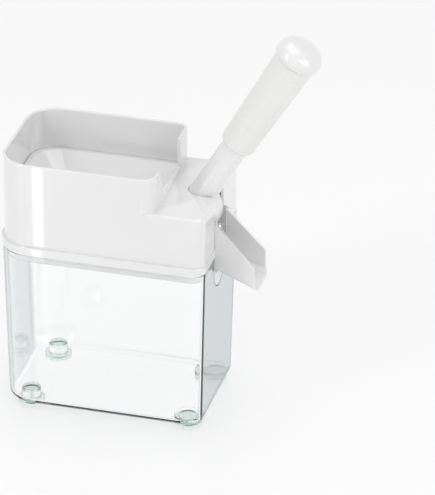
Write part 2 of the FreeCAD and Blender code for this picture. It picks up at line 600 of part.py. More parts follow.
def lever_grip():
    """Tapered hand grip pushed over the arm's spigot."""
    r0, r1 = GRIP_D0 / 2.0, GRIP_D1 / 2.0
    bore = SPIGOT_D / 2.0 + RUN
    seat, floor = CAP_PLUG_R + 0.2, GRIP_L - CAP_PLUG_L - 2.0
    pts = [(bore, 0), (r0 - 1.5, 0), (r0 - 0.4, 0.5), (r0, 1.6), (r1, GRIP_L - 1.0), (r1 - 1.0, GRIP_L),
           (seat, GRIP_L), (seat, floor), (bore, floor - 2.0)]
    return revolve_on_axis(pts, ARM_L)


def end_cap():
    """Domed cap on the grip."""
    r = CAP_D / 2.0
    n = 10
    rise = CAP_L - CAP_LIP
    pts = [(0, -CAP_PLUG_L), (CAP_PLUG_R, -CAP_PLUG_L), (CAP_PLUG_R, 0), (r - 1.6, 0), (r - 0.5, 0.6),
           (r, 1.6), (r, CAP_LIP)]
    for i in range(1, n + 1):
        a = math.radians(90.0 * i / n)
        pts.append((r * math.cos(a) ** 0.8 if i < n else 0, CAP_LIP + rise * math.sin(a) ** 0.9))
    return revolve_on_axis(pts, ARM_L + GRIP_L + 0.3)


def return_spring():
    """Torsion spring round the rear pivot pin: one leg bears on the fork's peg, one on the frame's."""
    pitch = SPRING_WIRE + 0.1
    leg = BOSS_R + 1.0
    lead = leg * pitch / (2 * math.pi * SPRING_R)
    y = ARM_D / 2.0 + SPRING_WIRE / 2.0 + lead + 0.1
    top = pitch * SPRING_TURNS
    helix = Part.makeHelix(pitch, top, SPRING_R)
    path = Part.Wire([Part.LineSegment(V(SPRING_R, -leg, -lead), V(SPRING_R, 0, 0)).toShape()] + helix.Edges
                     + [Part.LineSegment(V(SPRING_R, 0, top), V(SPRING_R, leg, top + lead)).toShape()])
    profile = Part.Wire(Part.Circle(V(SPRING_R, -leg, -lead), V(0, leg, lead), SPRING_WIRE / 2.0).toShape())
    spring = path.makePipeShell([profile], True, True)
    spring.rotate(V(0, 0, 0), V(1, 0, 0), -90)
    spring.translate(V(PIVOT_X, y, PIVOT_Z))
    return spring


# ================================================================ needle group
def needle_carriage():
    """Cross slide: slotted end for the crank pin, lips round the rail, eye for the needle."""
    w = CAR_W / 2.0
    x_lip = RAIL_X + 0.4
    x_body = RAIL_X + RAIL_T + 0.3
    r = CRANK_D / 2.0 + SLOT_CLEAR
    bar = box(x_body, CRANK_XMAX - 1, -w, w, CAR_LOW, CAR_TOP)
    z_c = CRANK_Z
    eye = capsule_xz((CRANK_X, z_c), (CRANK_XMAX, z_c), r + 1.8, r + 1.79, -w, w)
    web = plate_xz([(CRANK_X - 8, CAR_TOP - 0.5), (CRANK_X + 2, CAR_TOP - 0.5), (CRANK_X, z_c - r - 1.0),
                    (CRANK_X - 4, z_c - r)], -w, w)
    lips = [box(x_lip, x_body + 1, s * w - (w - RAIL_W / 2 - 0.3 if s > 0 else 0),
                s * w + (0 if s > 0 else w - RAIL_W / 2 - 0.3), CAR_LOW, CAR_TOP) for s in (-1, 1)]
    body = fuse(bar, eye, web, *lips)
    body = body.common(box(0, RIM_X, -w, w, 0, CAR_TOP))
    slot = capsule_xz((CRANK_X, z_c), (CRANK_XMAX, z_c), r, r - 0.01, -w - 1, w + 1)
    return cut(body, slot, cyl(NEEDLE_D - 2.0, V(NEEDLE_X, 0, CAR_LOW - 1), V(0, 0, 1), CAR_T + 2))


def needle():
    """Steel needle with a four-bladed tip and a shouldered shank in the carriage."""
    tip = STRIP_TOP - STRIP_T + 0.2
    body = cyl(NEEDLE_D, V(NEEDLE_X, 0, tip), V(0, 0, 1), CAR_LOW - tip)
    shank = cyl(NEEDLE_D - 2.0, V(NEEDLE_X, 0, CAR_LOW - 0.1), V(0, 0, 1), CAR_T - 0.2)
    body = fuse(body, shank)
    cuts = []
    for i in range(4):
        c = box(0.6, 5, 0.6, 5, -1, 12)
        c.rotate(V(0, 0, 0), V(0, 0, 1), 90 * i)
        c.translate(V(NEEDLE_X, 0, tip))
        cuts.append(c)
    return cut(body, *cuts)


def main():
    os.makedirs("parts", exist_ok=True)
    frame, rail = pitting_frame()
    nodes = {"stone_container": stone_container(), "housing": housing(), "feed_tray": feed_tray(),
             "pitting_frame": frame, "guide_rail": rail, "cherry_seat": cherry_seat(),
             "stripper_plate": stripper_plate(), "frame_screws": frame_screws(),
             "pivot_pin_front": pivot_pin(-1), "pivot_pin_rear": pivot_pin(1), "chute": chute(),
             "lever_arm": lever_arm(), "lever_core": lever_core(), "lever_grip": lever_grip(),
             "lever_end_cap": end_cap(), "crank_pin": crank_pin(), "return_spring": return_spring(),
             "needle_carriage": needle_carriage(), "needle": needle()}
    names = ("foot_front_left", "foot_front_right", "foot_back_right", "foot_back_left")
    for name, (x, y) in zip(names, foot_places()):
        nodes[name] = foot(x, y)
    for name, shape in nodes.items():
        shape.translate(V(-ORIGIN_X, 0, 0))
        print("%-20s valid=%s solids=%d" % (name, shape.isValid(), len(shape.Solids)))
        shape.exportStep("parts/%s.step" % name)


if __name__ == "__main__":
    main()
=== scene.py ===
"""Lever cherry pitter: a clear stone container, a white hopper housing, a swing lever and a side chute.

Sizes in the classes are millimetres: +Z up, +X towards the chute, +Y to the back, measured from the
table under the container's middle.  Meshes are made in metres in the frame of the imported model, whose
origin is MIDDLE millimetres right of the container's middle.
"""
from __future__ import annotations

import logging
import math
from dataclasses import dataclass, field
from enum import Enum
from typing import Sequence

import bmesh
import bpy
from mathutils import Matrix, Vector

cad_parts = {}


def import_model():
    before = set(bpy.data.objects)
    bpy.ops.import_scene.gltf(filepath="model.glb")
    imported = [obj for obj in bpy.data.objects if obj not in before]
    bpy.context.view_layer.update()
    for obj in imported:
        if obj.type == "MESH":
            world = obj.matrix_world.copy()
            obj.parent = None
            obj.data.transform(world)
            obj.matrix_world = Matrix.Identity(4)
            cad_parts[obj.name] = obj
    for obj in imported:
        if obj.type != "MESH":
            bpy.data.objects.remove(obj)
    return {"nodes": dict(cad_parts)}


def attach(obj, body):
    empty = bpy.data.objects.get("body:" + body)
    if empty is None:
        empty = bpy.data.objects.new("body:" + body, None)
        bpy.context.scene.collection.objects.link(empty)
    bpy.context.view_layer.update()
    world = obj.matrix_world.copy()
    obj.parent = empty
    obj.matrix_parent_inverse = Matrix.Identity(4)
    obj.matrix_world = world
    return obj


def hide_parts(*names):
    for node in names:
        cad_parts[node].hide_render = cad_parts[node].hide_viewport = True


log = logging.getLogger("cherry_pitter")
MM = 0.001
MIDDLE = 36.64
LEAST_RADIUS = 0.3
WHITE = (1.0, 1.0, 1.0, 1.0)
Ring = list[Vector]
Pair = tuple[float, float]
Tone = tuple[float, float, float]


def at(x: float, y: float, z: float) -> Vector:
    """Point measured from the container's middle in millimetres, as a point of the frame in metres."""
    return Vector((x - MIDDLE, y, z)) * MM


class Plane(Enum):
    """Plane that a flat profile is drawn in; the plate grows along the third axis."""

    XZ = "xz"
    YZ = "yz"
    XY = "xy"


# ------------------------------------------------------------------ outlines
def rounded(x0: float, x1: float, y0: float, y1: float, radii: Sequence[float], z: float,
            steps: int = 14) -> Ring:
    """Plan outline of a rounded rectangle.

    Args:
        x0, x1, y0, y1: its sides.
        radii: corner radii, starting at (x0, y0) and going round by (x1, y0).
        z: its height.
        steps: flats in each corner.

    Returns:
        Its points in order, in metres.
    """
    r = [max(LEAST_RADIUS, q) for q in radii]
    corners = ((x0 + r[0], y0 + r[0], r[0], 180), (x1 - r[1], y0 + r[1], r[1], 270),
               (x1 - r[2], y1 - r[2], r[2], 0), (x0 + r[3], y1 - r[3], r[3], 90))
    ring: Ring = []
    for cx, cy, q, start in corners:
        for i in range(steps + 1):
            a = math.radians(start + 90 * i / steps)
            ring.append(at(cx + q * math.cos(a), cy + q * math.sin(a), z))
    return ring


def circle(radius: float, z: float, count: int = 48, x: float = 0.0, y: float = 0.0) -> Ring:
    """Level circle of count points, in metres."""
    turn = 2 * math.pi / count
    return [at(x + radius * math.cos(turn * i), y + radius * math.sin(turn * i), z) for i in range(count)]


def arc(cx: float, cy: float, r: float, a0: float, a1: float, steps: int) -> list[Pair]:
    """Points of an arc from angle a0 to a1, in degrees, both ends included."""
    return [(cx + r * math.cos(math.radians(a0 + (a1 - a0) * i / steps)),
             cy + r * math.sin(math.radians(a0 + (a1 - a0) * i / steps))) for i in range(steps + 1)]


def shares(steps: int) -> list[float]:
    """Numbers from 0 to 1 in equal steps, both ends included."""
    return [i / steps for i in range(steps + 1)]


def quarter(steps: int = 6) -> list[float]:
    """Angles from 0 to 90 degrees in equal steps, both ends included, in radians."""
    return [math.radians(90 * i / steps) for i in range(steps + 1)]


# ------------------------------------------------------------------ the modelling bench
class Bench:
    """Operator calls that the pieces are modelled with."""

    merge_gap: float = 2e-6  # metres
    flat_angle: float = 0.6  # degrees
    shade_angle: float = 40.0  # degrees
    face_weight: int = 80

    @staticmethod
    def clear() -> None:
        """Go to object mode with nothing selected."""
        if bpy.context.object is not None and bpy.context.object.mode != "OBJECT":
            bpy.ops.object.mode_set(mode="OBJECT")
        bpy.ops.object.select_all(action="DESELECT")

    @staticmethod
    def pick(obj: bpy.types.Object) -> None:
        """Make obj the only selected and active object.

        Args:
            obj: the object to select.
        """
        Bench.clear()
        obj.select_set(True)
        bpy.context.view_layer.objects.active = obj

    @staticmethod
    def stack(name: str, rings: Sequence[Ring], hollow: bool = False) -> bpy.types.Object:
        """Raise a solid from ring to ring: a circle is placed, filled, and extruded to each next ring.

        Args:
            name: name of the object.
            rings: outlines with equally many points, in order.
            hollow: join the last ring to the first, for a tube wall, in place of closing both ends.

        Returns:
            The new object, with its place in its mesh.
        """
        Bench.clear()
        bpy.ops.mesh.primitive_circle_add(vertices=len(rings[0]), radius=1.0, fill_type="NGON")
        obj = bpy.context.object
        obj.name = obj.data.name = name
        bpy.ops.object.mode_set(mode="EDIT")
        bm = bmesh.from_edit_mesh(obj.data)
        tag = bm.verts.layers.int.new("place")
        bm.verts.ensure_lookup_table()
        for i, vert in enumerate(bm.verts):
            vert[tag] = i
            vert.co = rings[0][i]
        bmesh.update_edit_mesh(obj.data)
        bpy.ops.mesh.select_all(action="SELECT")
        for ring in rings[1:]:
            bpy.ops.mesh.extrude_region_move(TRANSFORM_OT_translate={"value": (0.0, 0.0, 0.0)})
            bm = bmesh.from_edit_mesh(obj.data)
            tag = bm.verts.layers.int["place"]
            for vert in bm.verts:
                if vert.select:
                    vert.co = ring[vert[tag]]
            bmesh.update_edit_mesh(obj.data)
        if hollow:
            Bench._join_ends(obj, len(rings[0]))
        bpy.ops.mesh.select_all(action="SELECT")
        bpy.ops.mesh.normals_make_consistent(inside=False)
        bpy.ops.object.mode_set(mode="OBJECT")
        obj.data.attributes.remove(obj.data.attributes["place"])
        return obj

    @staticmethod
    def _join_ends(obj: bpy.types.Object, count: int) -> None:
        """Delete the two end faces and bridge the open rims.

        Args:
            obj: the tube, in edit mode.
            count: points in a ring, by which the end faces are known.
        """
        bpy.ops.mesh.select_mode(type="FACE")
        bm = bmesh.from_edit_mesh(obj.data)
        for face in bm.faces:
            face.select = len(face.verts) == count
        bmesh.update_edit_mesh(obj.data)
        bpy.ops.mesh.delete(type="ONLY_FACE")
        bpy.ops.mesh.select_mode(type="EDGE")
        bm = bmesh.from_edit_mesh(obj.data)
        for edge in bm.edges:
            edge.select = edge.is_boundary
        bmesh.update_edit_mesh(obj.data)
        bpy.ops.mesh.bridge_edge_loops()
        bpy.ops.mesh.select_mode(type="VERT")

    @staticmethod
    def plate(name: str, profile: Sequence[Pair], plane: Plane, start: float,
              end: float) -> bpy.types.Object:
        """Cut a flat profile and give it thickness.

        Args:
            name: name of the object.
            profile: points of the outline in the plane, in millimetres.
            plane: the plane it is drawn in.
            start, end: where the plate starts and ends along the third axis.

        Returns:
            The new object.
        """
        def place(p: Pair, depth: float) -> Vector:
            """Point of the profile at a depth, in metres.

            Args:
                p: the point in the plane.
                depth: its place along the third axis.

            Returns:
                The point in the frame.
            """
            if plane is Plane.XZ:
                return at(p[0], depth, p[1])
            if plane is Plane.YZ:
                return at(depth, p[0], p[1])
            return at(p[0], p[1], depth)
        return Bench.stack(name, [[place(p, d) for p in profile] for d in (start, end)])

    @staticmethod
    def block(name: str, low: Sequence[float], high: Sequence[float]) -> bpy.types.Object:
        """Rectangular block between two corners, given in millimetres."""
        outline = [(low[0], low[1]), (high[0], low[1]), (high[0], high[1]), (low[0], high[1])]
        return Bench.plate(name, outline, Plane.XY, low[2], high[2])

    @staticmethod
    def bar(name: str, radius: float, span: Pair, x: float, y: float, count: int = 48) -> bpy.types.Object:
        """Upright round bar of the radius over x, y, between the two heights of span."""
        return Bench.stack(name, [circle(radius, z, count, x, y) for z in span])

    @staticmethod
    def join(obj: bpy.types.Object, others: Sequence[bpy.types.Object],
             mode: str = "UNION") -> bpy.types.Object:
        """Unite obj with others, or cut them out of it, and remove them.

        Args:
            obj: the solid that stays.
            others: the solids that are used up.
            mode: UNION, DIFFERENCE or INTERSECT.

        Returns:
            obj, changed.
        """
        for other in others:
            Bench.pick(obj)
            step = obj.modifiers.new("step", "BOOLEAN")
            step.operation = mode
            step.solver = "EXACT"
            step.object = other
            bpy.ops.object.modifier_apply(modifier=step.name)
            bpy.data.objects.remove(other)
        return obj

    @staticmethod
    def cut(obj: bpy.types.Object, others: Sequence[bpy.types.Object]) -> bpy.types.Object:
        """Cut others out of obj and remove them."""
        return Bench.join(obj, others, "DIFFERENCE")

    @staticmethod
    def tidy(obj: bpy.types.Object) -> None:
        """Merge doubles and take out the edges that lie inside flat faces.

        Args:
            obj: the solid to clean.
        """
        Bench.pick(obj)
        bpy.ops.object.mode_set(mode="EDIT")
        bpy.ops.mesh.select_all(action="SELECT")
        bpy.ops.mesh.remove_doubles(threshold=Bench.merge_gap)
        bpy.ops.mesh.dissolve_limited(angle_limit=math.radians(Bench.flat_angle))
        bpy.ops.object.mode_set(mode="OBJECT")

    @staticmethod
    def soften(obj: bpy.types.Object, width: float = 0.4, segments: int = 2, angle: float = 33.0,
               spare: Pair = (0.0, 0.0)) -> bpy.types.Object:
        """Round every sharp edge a little and give the piece smooth, flat-true shading.

        Args:
            obj: the piece.
            width: width of the rounding, in millimetres; 0 leaves the edges sharp.
            segments: steps across the rounding.
            angle: edges sharper than this many degrees are rounded.
            spare: band of heights, in millimetres of the frame, whose edges keep their own shape.

        Returns:
            The same object.
        """
        Bench.pick(obj)
        if width > 0:
            low, high = (z * MM for z in spare)
            bm = bmesh.new()
            bm.from_mesh(obj.data)
            weight = bm.edges.layers.float.new("bevel_weight_edge")
            for line in bm.edges:
                kept = all(low < vert.co.z < high for vert in line.verts)
                sharp = line.is_manifold and line.calc_face_angle() > math.radians(angle)
                line[weight] = 1.0 if sharp and not kept else 0.0
            bm.to_mesh(obj.data)
            bm.free()
            edge = obj.modifiers.new("edge", "BEVEL")
            edge.width = width * MM
            edge.segments = segments
            edge.limit_method = "WEIGHT"
            edge.use_clamp_overlap = False
            edge.miter_outer = "MITER_ARC"
            bpy.ops.object.modifier_apply(modifier=edge.name)
        bpy.ops.object.shade_smooth_by_angle(angle=math.radians(Bench.shade_angle))
        flat = obj.modifiers.new("flat", "WEIGHTED_NORMAL")
        flat.keep_sharp = True
        flat.weight = Bench.face_weight
        bpy.ops.object.modifier_apply(modifier=flat.name)
        return obj

    @staticmethod
    def seat(obj: bpy.types.Object, matrix: Matrix) -> bpy.types.Object:
        """Put obj where matrix says and apply its place to the mesh.

        Args:
            obj: the object.
            matrix: its place in the frame.

        Returns:
            obj, with its place in its mesh.
        """
        Bench.pick(obj)
        obj.matrix_world = matrix
        bpy.ops.object.transform_apply(location=True, rotation=True, scale=True)
        return obj

    @staticmethod
    def likeness(node: bpy.types.Object, name: str) -> bpy.types.Object:
        """Copy of a frame node's solid with its faces merged, ready to be finished.

        Args:
            node: the frame's node.
            name: name of the copy.

        Returns:
            The copy, with no parent and no material.
        """
        twin = node.copy()
        twin.data = node.data.copy()
        twin.name = twin.data.name = name
        twin.parent = None
        for key in list(twin.keys()):
            del twin[key]
        bpy.context.scene.collection.objects.link(twin)
        Bench.pick(twin)
        twin.data.materials.clear()
        bpy.ops.mesh.customdata_custom_splitnormals_clear()
        Bench.tidy(twin)
        return twin


# ------------------------------------------------------------------ finishes
class Nodes:
    """A material's node tree, with short calls to add and link nodes."""

    noise_span: Pair = (0.3, 0.7)
    blend_span: Pair = (0.35, 0.65)

    def __init__(self, name: str) -> None:
        """Start an empty tree for a new material called name.

        Args:
            name: name of the material.
        """
        self.material = bpy.data.materials.new(name)
        self.material.use_nodes = True
        self.tree = self.material.node_tree
        self.tree.nodes.clear()
        self.output = self.add("ShaderNodeOutputMaterial")

    def add(self, kind: str, **values: object) -> bpy.types.Node:
        """Add a node and set the named inputs or properties.

        Args:
            kind: type of the node.
            **values: inputs by name, or else properties.

        Returns:
            The new node.
        """
        node = self.tree.nodes.new(kind)
        for key, value in values.items():
            words = key.replace("_", " ").title()
            if words in node.inputs:
                node.inputs[words].default_value = value
            else:
                setattr(node, key, value)
        return node

    def link(self, start: bpy.types.NodeSocket, end: bpy.types.NodeSocket) -> None:
        """Link two sockets."""
        self.tree.links.new(start, end)

    def place(self, scale: Sequence[float] = (1.0, 1.0, 1.0)) -> bpy.types.NodeSocket:
        """Object coordinates, stretched by scale.

        Args:
            scale: stretch along X, Y and Z.

        Returns:
            Socket with the places.
        """
        spot = self.add("ShaderNodeTexCoord")
        stretch = self.add("ShaderNodeMapping")
        stretch.inputs["Scale"].default_value = scale
        self.link(spot.outputs["Object"], stretch.inputs["Vector"])
        return stretch.outputs["Vector"]

    def noise(self, where: bpy.types.NodeSocket, scale: float,
              detail: float = 3.0) -> bpy.types.NodeSocket:
        """Noise from 0 to 1 at the given places.

        Args:
            where: socket with the places.
            scale: how fine the noise is.
            detail: how many finer layers it has.

        Returns:
            Socket with the noise.
        """
        node = self.add("ShaderNodeTexNoise", scale=scale, detail=detail)
        self.link(where, node.inputs["Vector"])
        return node.outputs["Fac"]

    def spread(self, value: bpy.types.NodeSocket, low: float, high: float) -> bpy.types.NodeSocket:
        """Map a noise value from its usual span onto low to high.

        Args:
            value: socket with the noise.
            low, high: ends of the new span.

        Returns:
            Socket with the new value.
        """
        node = self.add("ShaderNodeMapRange")
        ends = zip(("From Min", "From Max", "To Min", "To Max"), (*self.noise_span, low, high))
        for key, level in ends:
            node.inputs[key].default_value = level
        self.link(value, node.inputs["Value"])
        return node.outputs["Result"]

    def blend(self, value: bpy.types.NodeSocket, low: Sequence[float],
              high: Sequence[float]) -> bpy.types.NodeSocket:
        """Colour that runs from low to high with value.

        Args:
            value: socket with the noise.
            low, high: colours at the two ends.

        Returns:
            Socket with the colour.
        """
        ramp = self.add("ShaderNodeValToRGB")
        for stop, place, colour in zip(ramp.color_ramp.elements, self.blend_span, (low, high)):
            stop.position = place
            stop.color = (*colour, 1.0)
        self.link(value, ramp.inputs["Fac"])
        return ramp.outputs["Color"]

    def bump(self, height: bpy.types.NodeSocket, strength: float, distance: float) -> bpy.types.NodeSocket:
        """Normal bumped by height.

        Args:
            height: socket with the height.
            strength: share of the bump that shows, from 0 to 1.
            distance: height of the bump, in metres.

        Returns:
            Socket with the normal.
        """
        node = self.add("ShaderNodeBump")
        node.inputs["Strength"].default_value = strength
        node.inputs["Distance"].default_value = distance
        self.link(height, node.inputs["Height"])
        return node.outputs["Normal"]


@dataclass(frozen=True)
class MouldedPlastic:
    """Opaque injection-moulded plastic: a slight drift of tone, soft flow marks and a fine skin."""

    name: str
    tone: Tone = (0.80, 0.80, 0.80)
    drift: float = 0.012
    drift_scale: float = 14.0
    roughness: float = 0.12
    unevenness: float = 0.04
    patch_scale: float = 55.0
    ior: float = 1.5
    coat: float = 1.0
    coat_ior: float = 1.7
    coat_roughness: float = 0.03
    skin_scale: float = 420.0
    skin_height: float = 0.003
    skin_depth: float = 0.0004

    def make(self) -> bpy.types.Material:
        """Build the material.

        Returns:
            The new material.
        """
        n = Nodes(self.name)
        where = n.place()
        low = tuple(max(0.0, c - self.drift) for c in self.tone)
        high = tuple(min(1.0, c + self.drift) for c in self.tone)
        shader = n.add("ShaderNodeBsdfPrincipled")
        n.link(n.blend(n.noise(where, self.drift_scale, 2.0), low, high), shader.inputs["Base Color"])
        patches = n.noise(where, self.patch_scale)
        n.link(n.spread(patches, self.roughness, self.roughness + self.unevenness),
               shader.inputs["Roughness"])
        skin = n.noise(where, self.skin_scale, 2.0)
        n.link(n.bump(skin, self.skin_height, self.skin_depth), shader.inputs["Normal"])
        shader.inputs["IOR"].default_value = self.ior
        shader.inputs["Coat Weight"].default_value = self.coat
        shader.inputs["Coat Roughness"].default_value = self.coat_roughness
        shader.inputs["Coat IOR"].default_value = self.coat_ior
        n.link(shader.outputs["BSDF"], n.output.inputs["Surface"])
        return n.material


@dataclass(frozen=True)
class ClearPlastic:
    """Clear moulded plastic that darkens to its own tint inside the wall, with a painted dark edge shade
    where it turns away from the view.
    """

    name: str
    face: Tone = (1.0, 1.0, 1.0)
    drift: float = 0.006
    drift_scale: float = 18.0
    # The next field's colour is a painted dark edge shade; it is painted in over the facing range from
    # edge_from to edge_to.
    painted_edge_shade: Tone = (0.10, 0.15, 0.17)
    edge_from: float = 0.50
    edge_to: float = 0.90
    depth_tint: Tone = (0.45, 0.62, 0.66)
    density: float = 12.0
    ior: float = 1.50
    roughness: float = 0.012
    unevenness: float = 0.03
    patch_scale: float = 90.0
    ripple: float = 0.02
    ripple_scale: float = 26.0
    ripple_depth: float = 0.002
    shadow: float = 0.90

    def make(self) -> bpy.types.Material:
        """Build the material.

        Returns:
            The new material.
        """
        n = Nodes(self.name)
        where = n.place()
        shader = n.add("ShaderNodeBsdfPrincipled")
        dim = tuple(c - self.drift for c in self.face)
        turned = n.add("ShaderNodeLayerWeight")
        turned.inputs["Blend"].default_value = 0.5
        share = n.add("ShaderNodeMapRange")
        share.inputs["From Min"].default_value = self.edge_from
        share.inputs["From Max"].default_value = self.edge_to
        n.link(turned.outputs["Facing"], share.inputs["Value"])
        # Painted dark edge shade: base colour and specular tint run from the face colour to the edge shade
        # where the surface turns away from the view.
        tone = n.add("ShaderNodeMix", data_type="RGBA")
        n.link(share.outputs["Result"], tone.inputs["Factor"])
        # The colour sockets of a mix are its inputs 6 and 7 and its output 2.
        n.link(n.blend(n.noise(where, self.drift_scale, 2.0), dim, self.face), tone.inputs[6])
        tone.inputs[7].default_value = (*self.painted_edge_shade, 1.0)
        n.link(tone.outputs[2], shader.inputs["Base Color"])
        n.link(tone.outputs[2], shader.inputs["Specular Tint"])
        patches = n.noise(where, self.patch_scale)
        n.link(n.spread(patches, self.roughness, self.roughness + self.unevenness),
               shader.inputs["Roughness"])
        waves = n.noise(where, self.ripple_scale, 1.0)
        n.link(n.bump(waves, self.ripple, self.ripple_depth), shader.inputs["Normal"])
        shader.inputs["IOR"].default_value = self.ior
        shader.inputs["Transmission Weight"].default_value = 1.0
        shade = n.add("ShaderNodeBsdfTransparent")
        shade.inputs["Color"].default_value = (self.shadow, self.shadow, self.shadow, 1.0)
        path = n.add("ShaderNodeLightPath")
        mix = n.add("ShaderNodeMixShader")
        n.link(path.outputs["Is Shadow Ray"], mix.inputs["Fac"])
        n.link(shader.outputs["BSDF"], mix.inputs[1])
        n.link(shade.outputs["BSDF"], mix.inputs[2])
        n.link(mix.outputs["Shader"], n.output.inputs["Surface"])
        body = n.add("ShaderNodeVolumeAbsorption")
        body.inputs["Color"].default_value = (*self.depth_tint, 1.0)
        body.inputs["Density"].default_value = self.density
        n.link(body.outputs["Volume"], n.output.inputs["Volume"])
        return n.material


@dataclass(frozen=True)
class SoftRubber:
    """Soft see-through rubber or silicone with a dull, slightly grainy skin."""

    name: str
    tone: Tone = (0.93, 0.96, 0.94)
    dimming: float = 0.94
    clearness: float = 0.55
    ior: float = 1.42
    roughness: float = 0.22
    unevenness: float = 0.15
    grain: float = 0.05
    grain_depth: float = 0.0003

    def make(self) -> bpy.types.Material:
        """Build the material.

        Returns:
            The new material.
        """
        n = Nodes(self.name)
        where = n.place()
        shader = n.add("ShaderNodeBsdfPrincipled")
        dim = tuple(c * self.dimming for c in self.tone)
        n.link(n.blend(n.noise(where, 120.0), dim, self.tone), shader.inputs["Base Color"])
        n.link(n.spread(n.noise(where, 300.0), self.roughness, self.roughness + self.unevenness),
               shader.inputs["Roughness"])
        n.link(n.bump(n.noise(where, 700.0), self.grain, self.grain_depth), shader.inputs["Normal"])
        shader.inputs["IOR"].default_value = self.ior
        shader.inputs["Transmission Weight"].default_value = self.clearness
        n.link(shader.outputs["BSDF"], n.output.inputs["Surface"])
        return n.material


@dataclass(frozen=True)
class BrushedSteel:
    """Stainless steel with fine drawn lines along one axis."""

    name: str
    tone: Tone = (0.60, 0.61, 0.62)
    dimming: float = 0.86
    roughness: float = 0.24
    unevenness: float = 0.14
    lines: tuple[float, float, float] = (90.0, 90.0, 3.0)
    line_height: float = 0.08
    line_depth: float = 0.0002

    def make(self) -> bpy.types.Material:
        """Build the material.

        Returns:
            The new material.
        """
        n = Nodes(self.name)
        where = n.place(self.lines)
        shader = n.add("ShaderNodeBsdfPrincipled")
        dim = tuple(c * self.dimming for c in self.tone)
        drawn = n.noise(where, 30.0, 4.0)
        n.link(n.blend(drawn, dim, self.tone), shader.inputs["Base Color"])
        n.link(n.spread(drawn, self.roughness, self.roughness + self.unevenness),
               shader.inputs["Roughness"])
        n.link(n.bump(drawn, self.line_height, self.line_depth), shader.inputs["Normal"])
        shader.inputs["Metallic"].default_value = 1.0
        n.link(shader.outputs["BSDF"], n.output.inputs["Surface"])
        return n.material


class Finishes:
    """Every finish of the object, made once."""

    def __init__(self) -> None:
        """Build the materials."""
        self.shell = MouldedPlastic("gloss_white_shell").make()
        self.inner = MouldedPlastic("satin_white_works", tone=(0.76, 0.76, 0.75), roughness=0.34,
                                    coat=0.0, coat_ior=1.5, skin_height=0.04).make()
        self.grip = MouldedPlastic("satin_white_grip", tone=(0.80, 0.80, 0.79), roughness=0.17,
                                   coat=0.3, coat_ior=1.5, skin_height=0.01).make()
        self.clear = ClearPlastic("clear_container").make()
        # The soft foot's edge tone is a painted dark edge shade as well.
        self.foot = ClearPlastic("clear_soft_foot", face=(0.95, 0.98, 0.96), painted_edge_shade=(0.66, 0.76, 0.73),
                                 depth_tint=(0.72, 0.83, 0.78), density=160.0, ior=1.14, roughness=0.16,
                                 ripple=0.05).make()
        self.silicone = SoftRubber("silicone_seat", tone=(0.80, 0.80, 0.78), clearness=0.1,
                                   roughness=0.45).make()
        self.steel = BrushedSteel("brushed_steel").make()


class Piece:
    """A finished piece, riding on its body in place of the frame nodes that it stands for."""

    def __init__(self, obj: bpy.types.Object, material: bpy.types.Material, body: str, slot: str,
                 replaces: Sequence[str] = ()) -> None:
        """Dress obj, make it ride on body and stand for the named nodes.

        Args:
            obj: the finished object.
            material: its finish.
            body: the body that it rides on.
            slot: its material slot; not used.
            replaces: the frame nodes that it stands for.
        """
        obj.data.materials.clear()
        obj.data.materials.append(material)
        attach(obj, body)
        if replaces:
            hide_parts(*replaces)
        log.info("piece %-22s rides on %-9s %6d faces", obj.name, body, len(obj.data.polygons))


# ------------------------------------------------------------------ shared plan
@dataclass
class Plan:
    """Plan sizes that the container, the housing, the tray and the chute share."""

    rim_x: float = 157.2
    rim_y: float = 99.2
    rim_z: float = 132.0
    r_left: float = 25.0
    r_right: float = 10.0
    r_rear: float = 5.0
    inset: float = 1.5
    inset_right: float = 0.0
    notch_half: float = 14.6
    notch_low_r: float = 13.0
    notch_rise: float = 9.0
    notch_bottom: float = 102.0
    hopper_x: float = 42.5
    hopper_front: float = 12.0
    hopper_back: float = 8.0
    least_rear: float = 2.0

    def rim(self, inset: float, z: float, rear: float | None = None) -> Ring:
        """Outline of the rim, moved in by inset; rear is its rear right radius.

        Args:
            inset: how far it is moved in, in millimetres.
            z: its height.
            rear: radius of its rear right corner, or None for the rim's own.

        Returns:
            Its points in order, in metres.
        """
        x, y = self.rim_x / 2 - inset, self.rim_y / 2 - inset
        left, right = self.r_left - inset, self.r_right - inset
        rear = max(self.least_rear, self.r_rear - inset) if rear is None else rear
        return rounded(-x, x, -y, y, (left, right, rear, left), z)

    def face(self, inset: float, z: float) -> Ring:
        """Outline of the housing's face, moved in by inset; its right side is flush with the rim.

        Args:
            inset: how far it is moved in, in millimetres.
            z: its height.

        Returns:
            Its points in order, in metres.
        """
        i = self.inset + inset
        x, y = self.rim_x / 2, self.rim_y / 2 - i
        left, right = self.r_left - i, self.r_right - i
        rear = max(self.least_rear, self.r_rear - i)
        return rounded(-x + i, x - self.inset_right - inset, -y, y, (left, right, rear, left), z)

    def notch(self, grow: float, top: float) -> list[Pair]:
        """U of the notch in Y and Z: a round bottom that widens up to straight sides.

        Args:
            grow: how far the outline is moved outwards.
            top: height at which it ends.

        Returns:
            Its points, from the front side down and up the rear side.
        """
        low, half = self.notch_low_r + grow, self.notch_half + grow
        z0 = self.notch_bottom + self.notch_low_r
        z1 = z0 + self.notch_rise
        turn = math.degrees(math.asin((half - low) / self.notch_rise))
        front = arc(0.0, z1, half, 180, 180 + turn, 4)
        round_low = arc(0.0, z0, low, 180 + turn, 360 - turn, 20)
        rear = arc(0.0, z1, half, 360 - turn, 360, 4)
        return [(-half, top)] + front + round_low + rear + [(half, top)]

    def hopper(self, inset: float, z: float) -> Ring:
        """Outline of the hopper, moved in by inset from its outer face.

        Args:
            inset: how far it is moved in, in millimetres.
            z: its height.

        Returns:
            Its points in order, in metres.
        """
        x0 = -self.rim_x / 2 + self.inset + inset
        y0 = -self.rim_y / 2 + self.inset + inset
        left = self.r_left - self.inset - inset
        return rounded(x0, self.hopper_x - inset, y0, -y0,
                       (left, self.hopper_front - inset, self.hopper_back - inset, left), z)


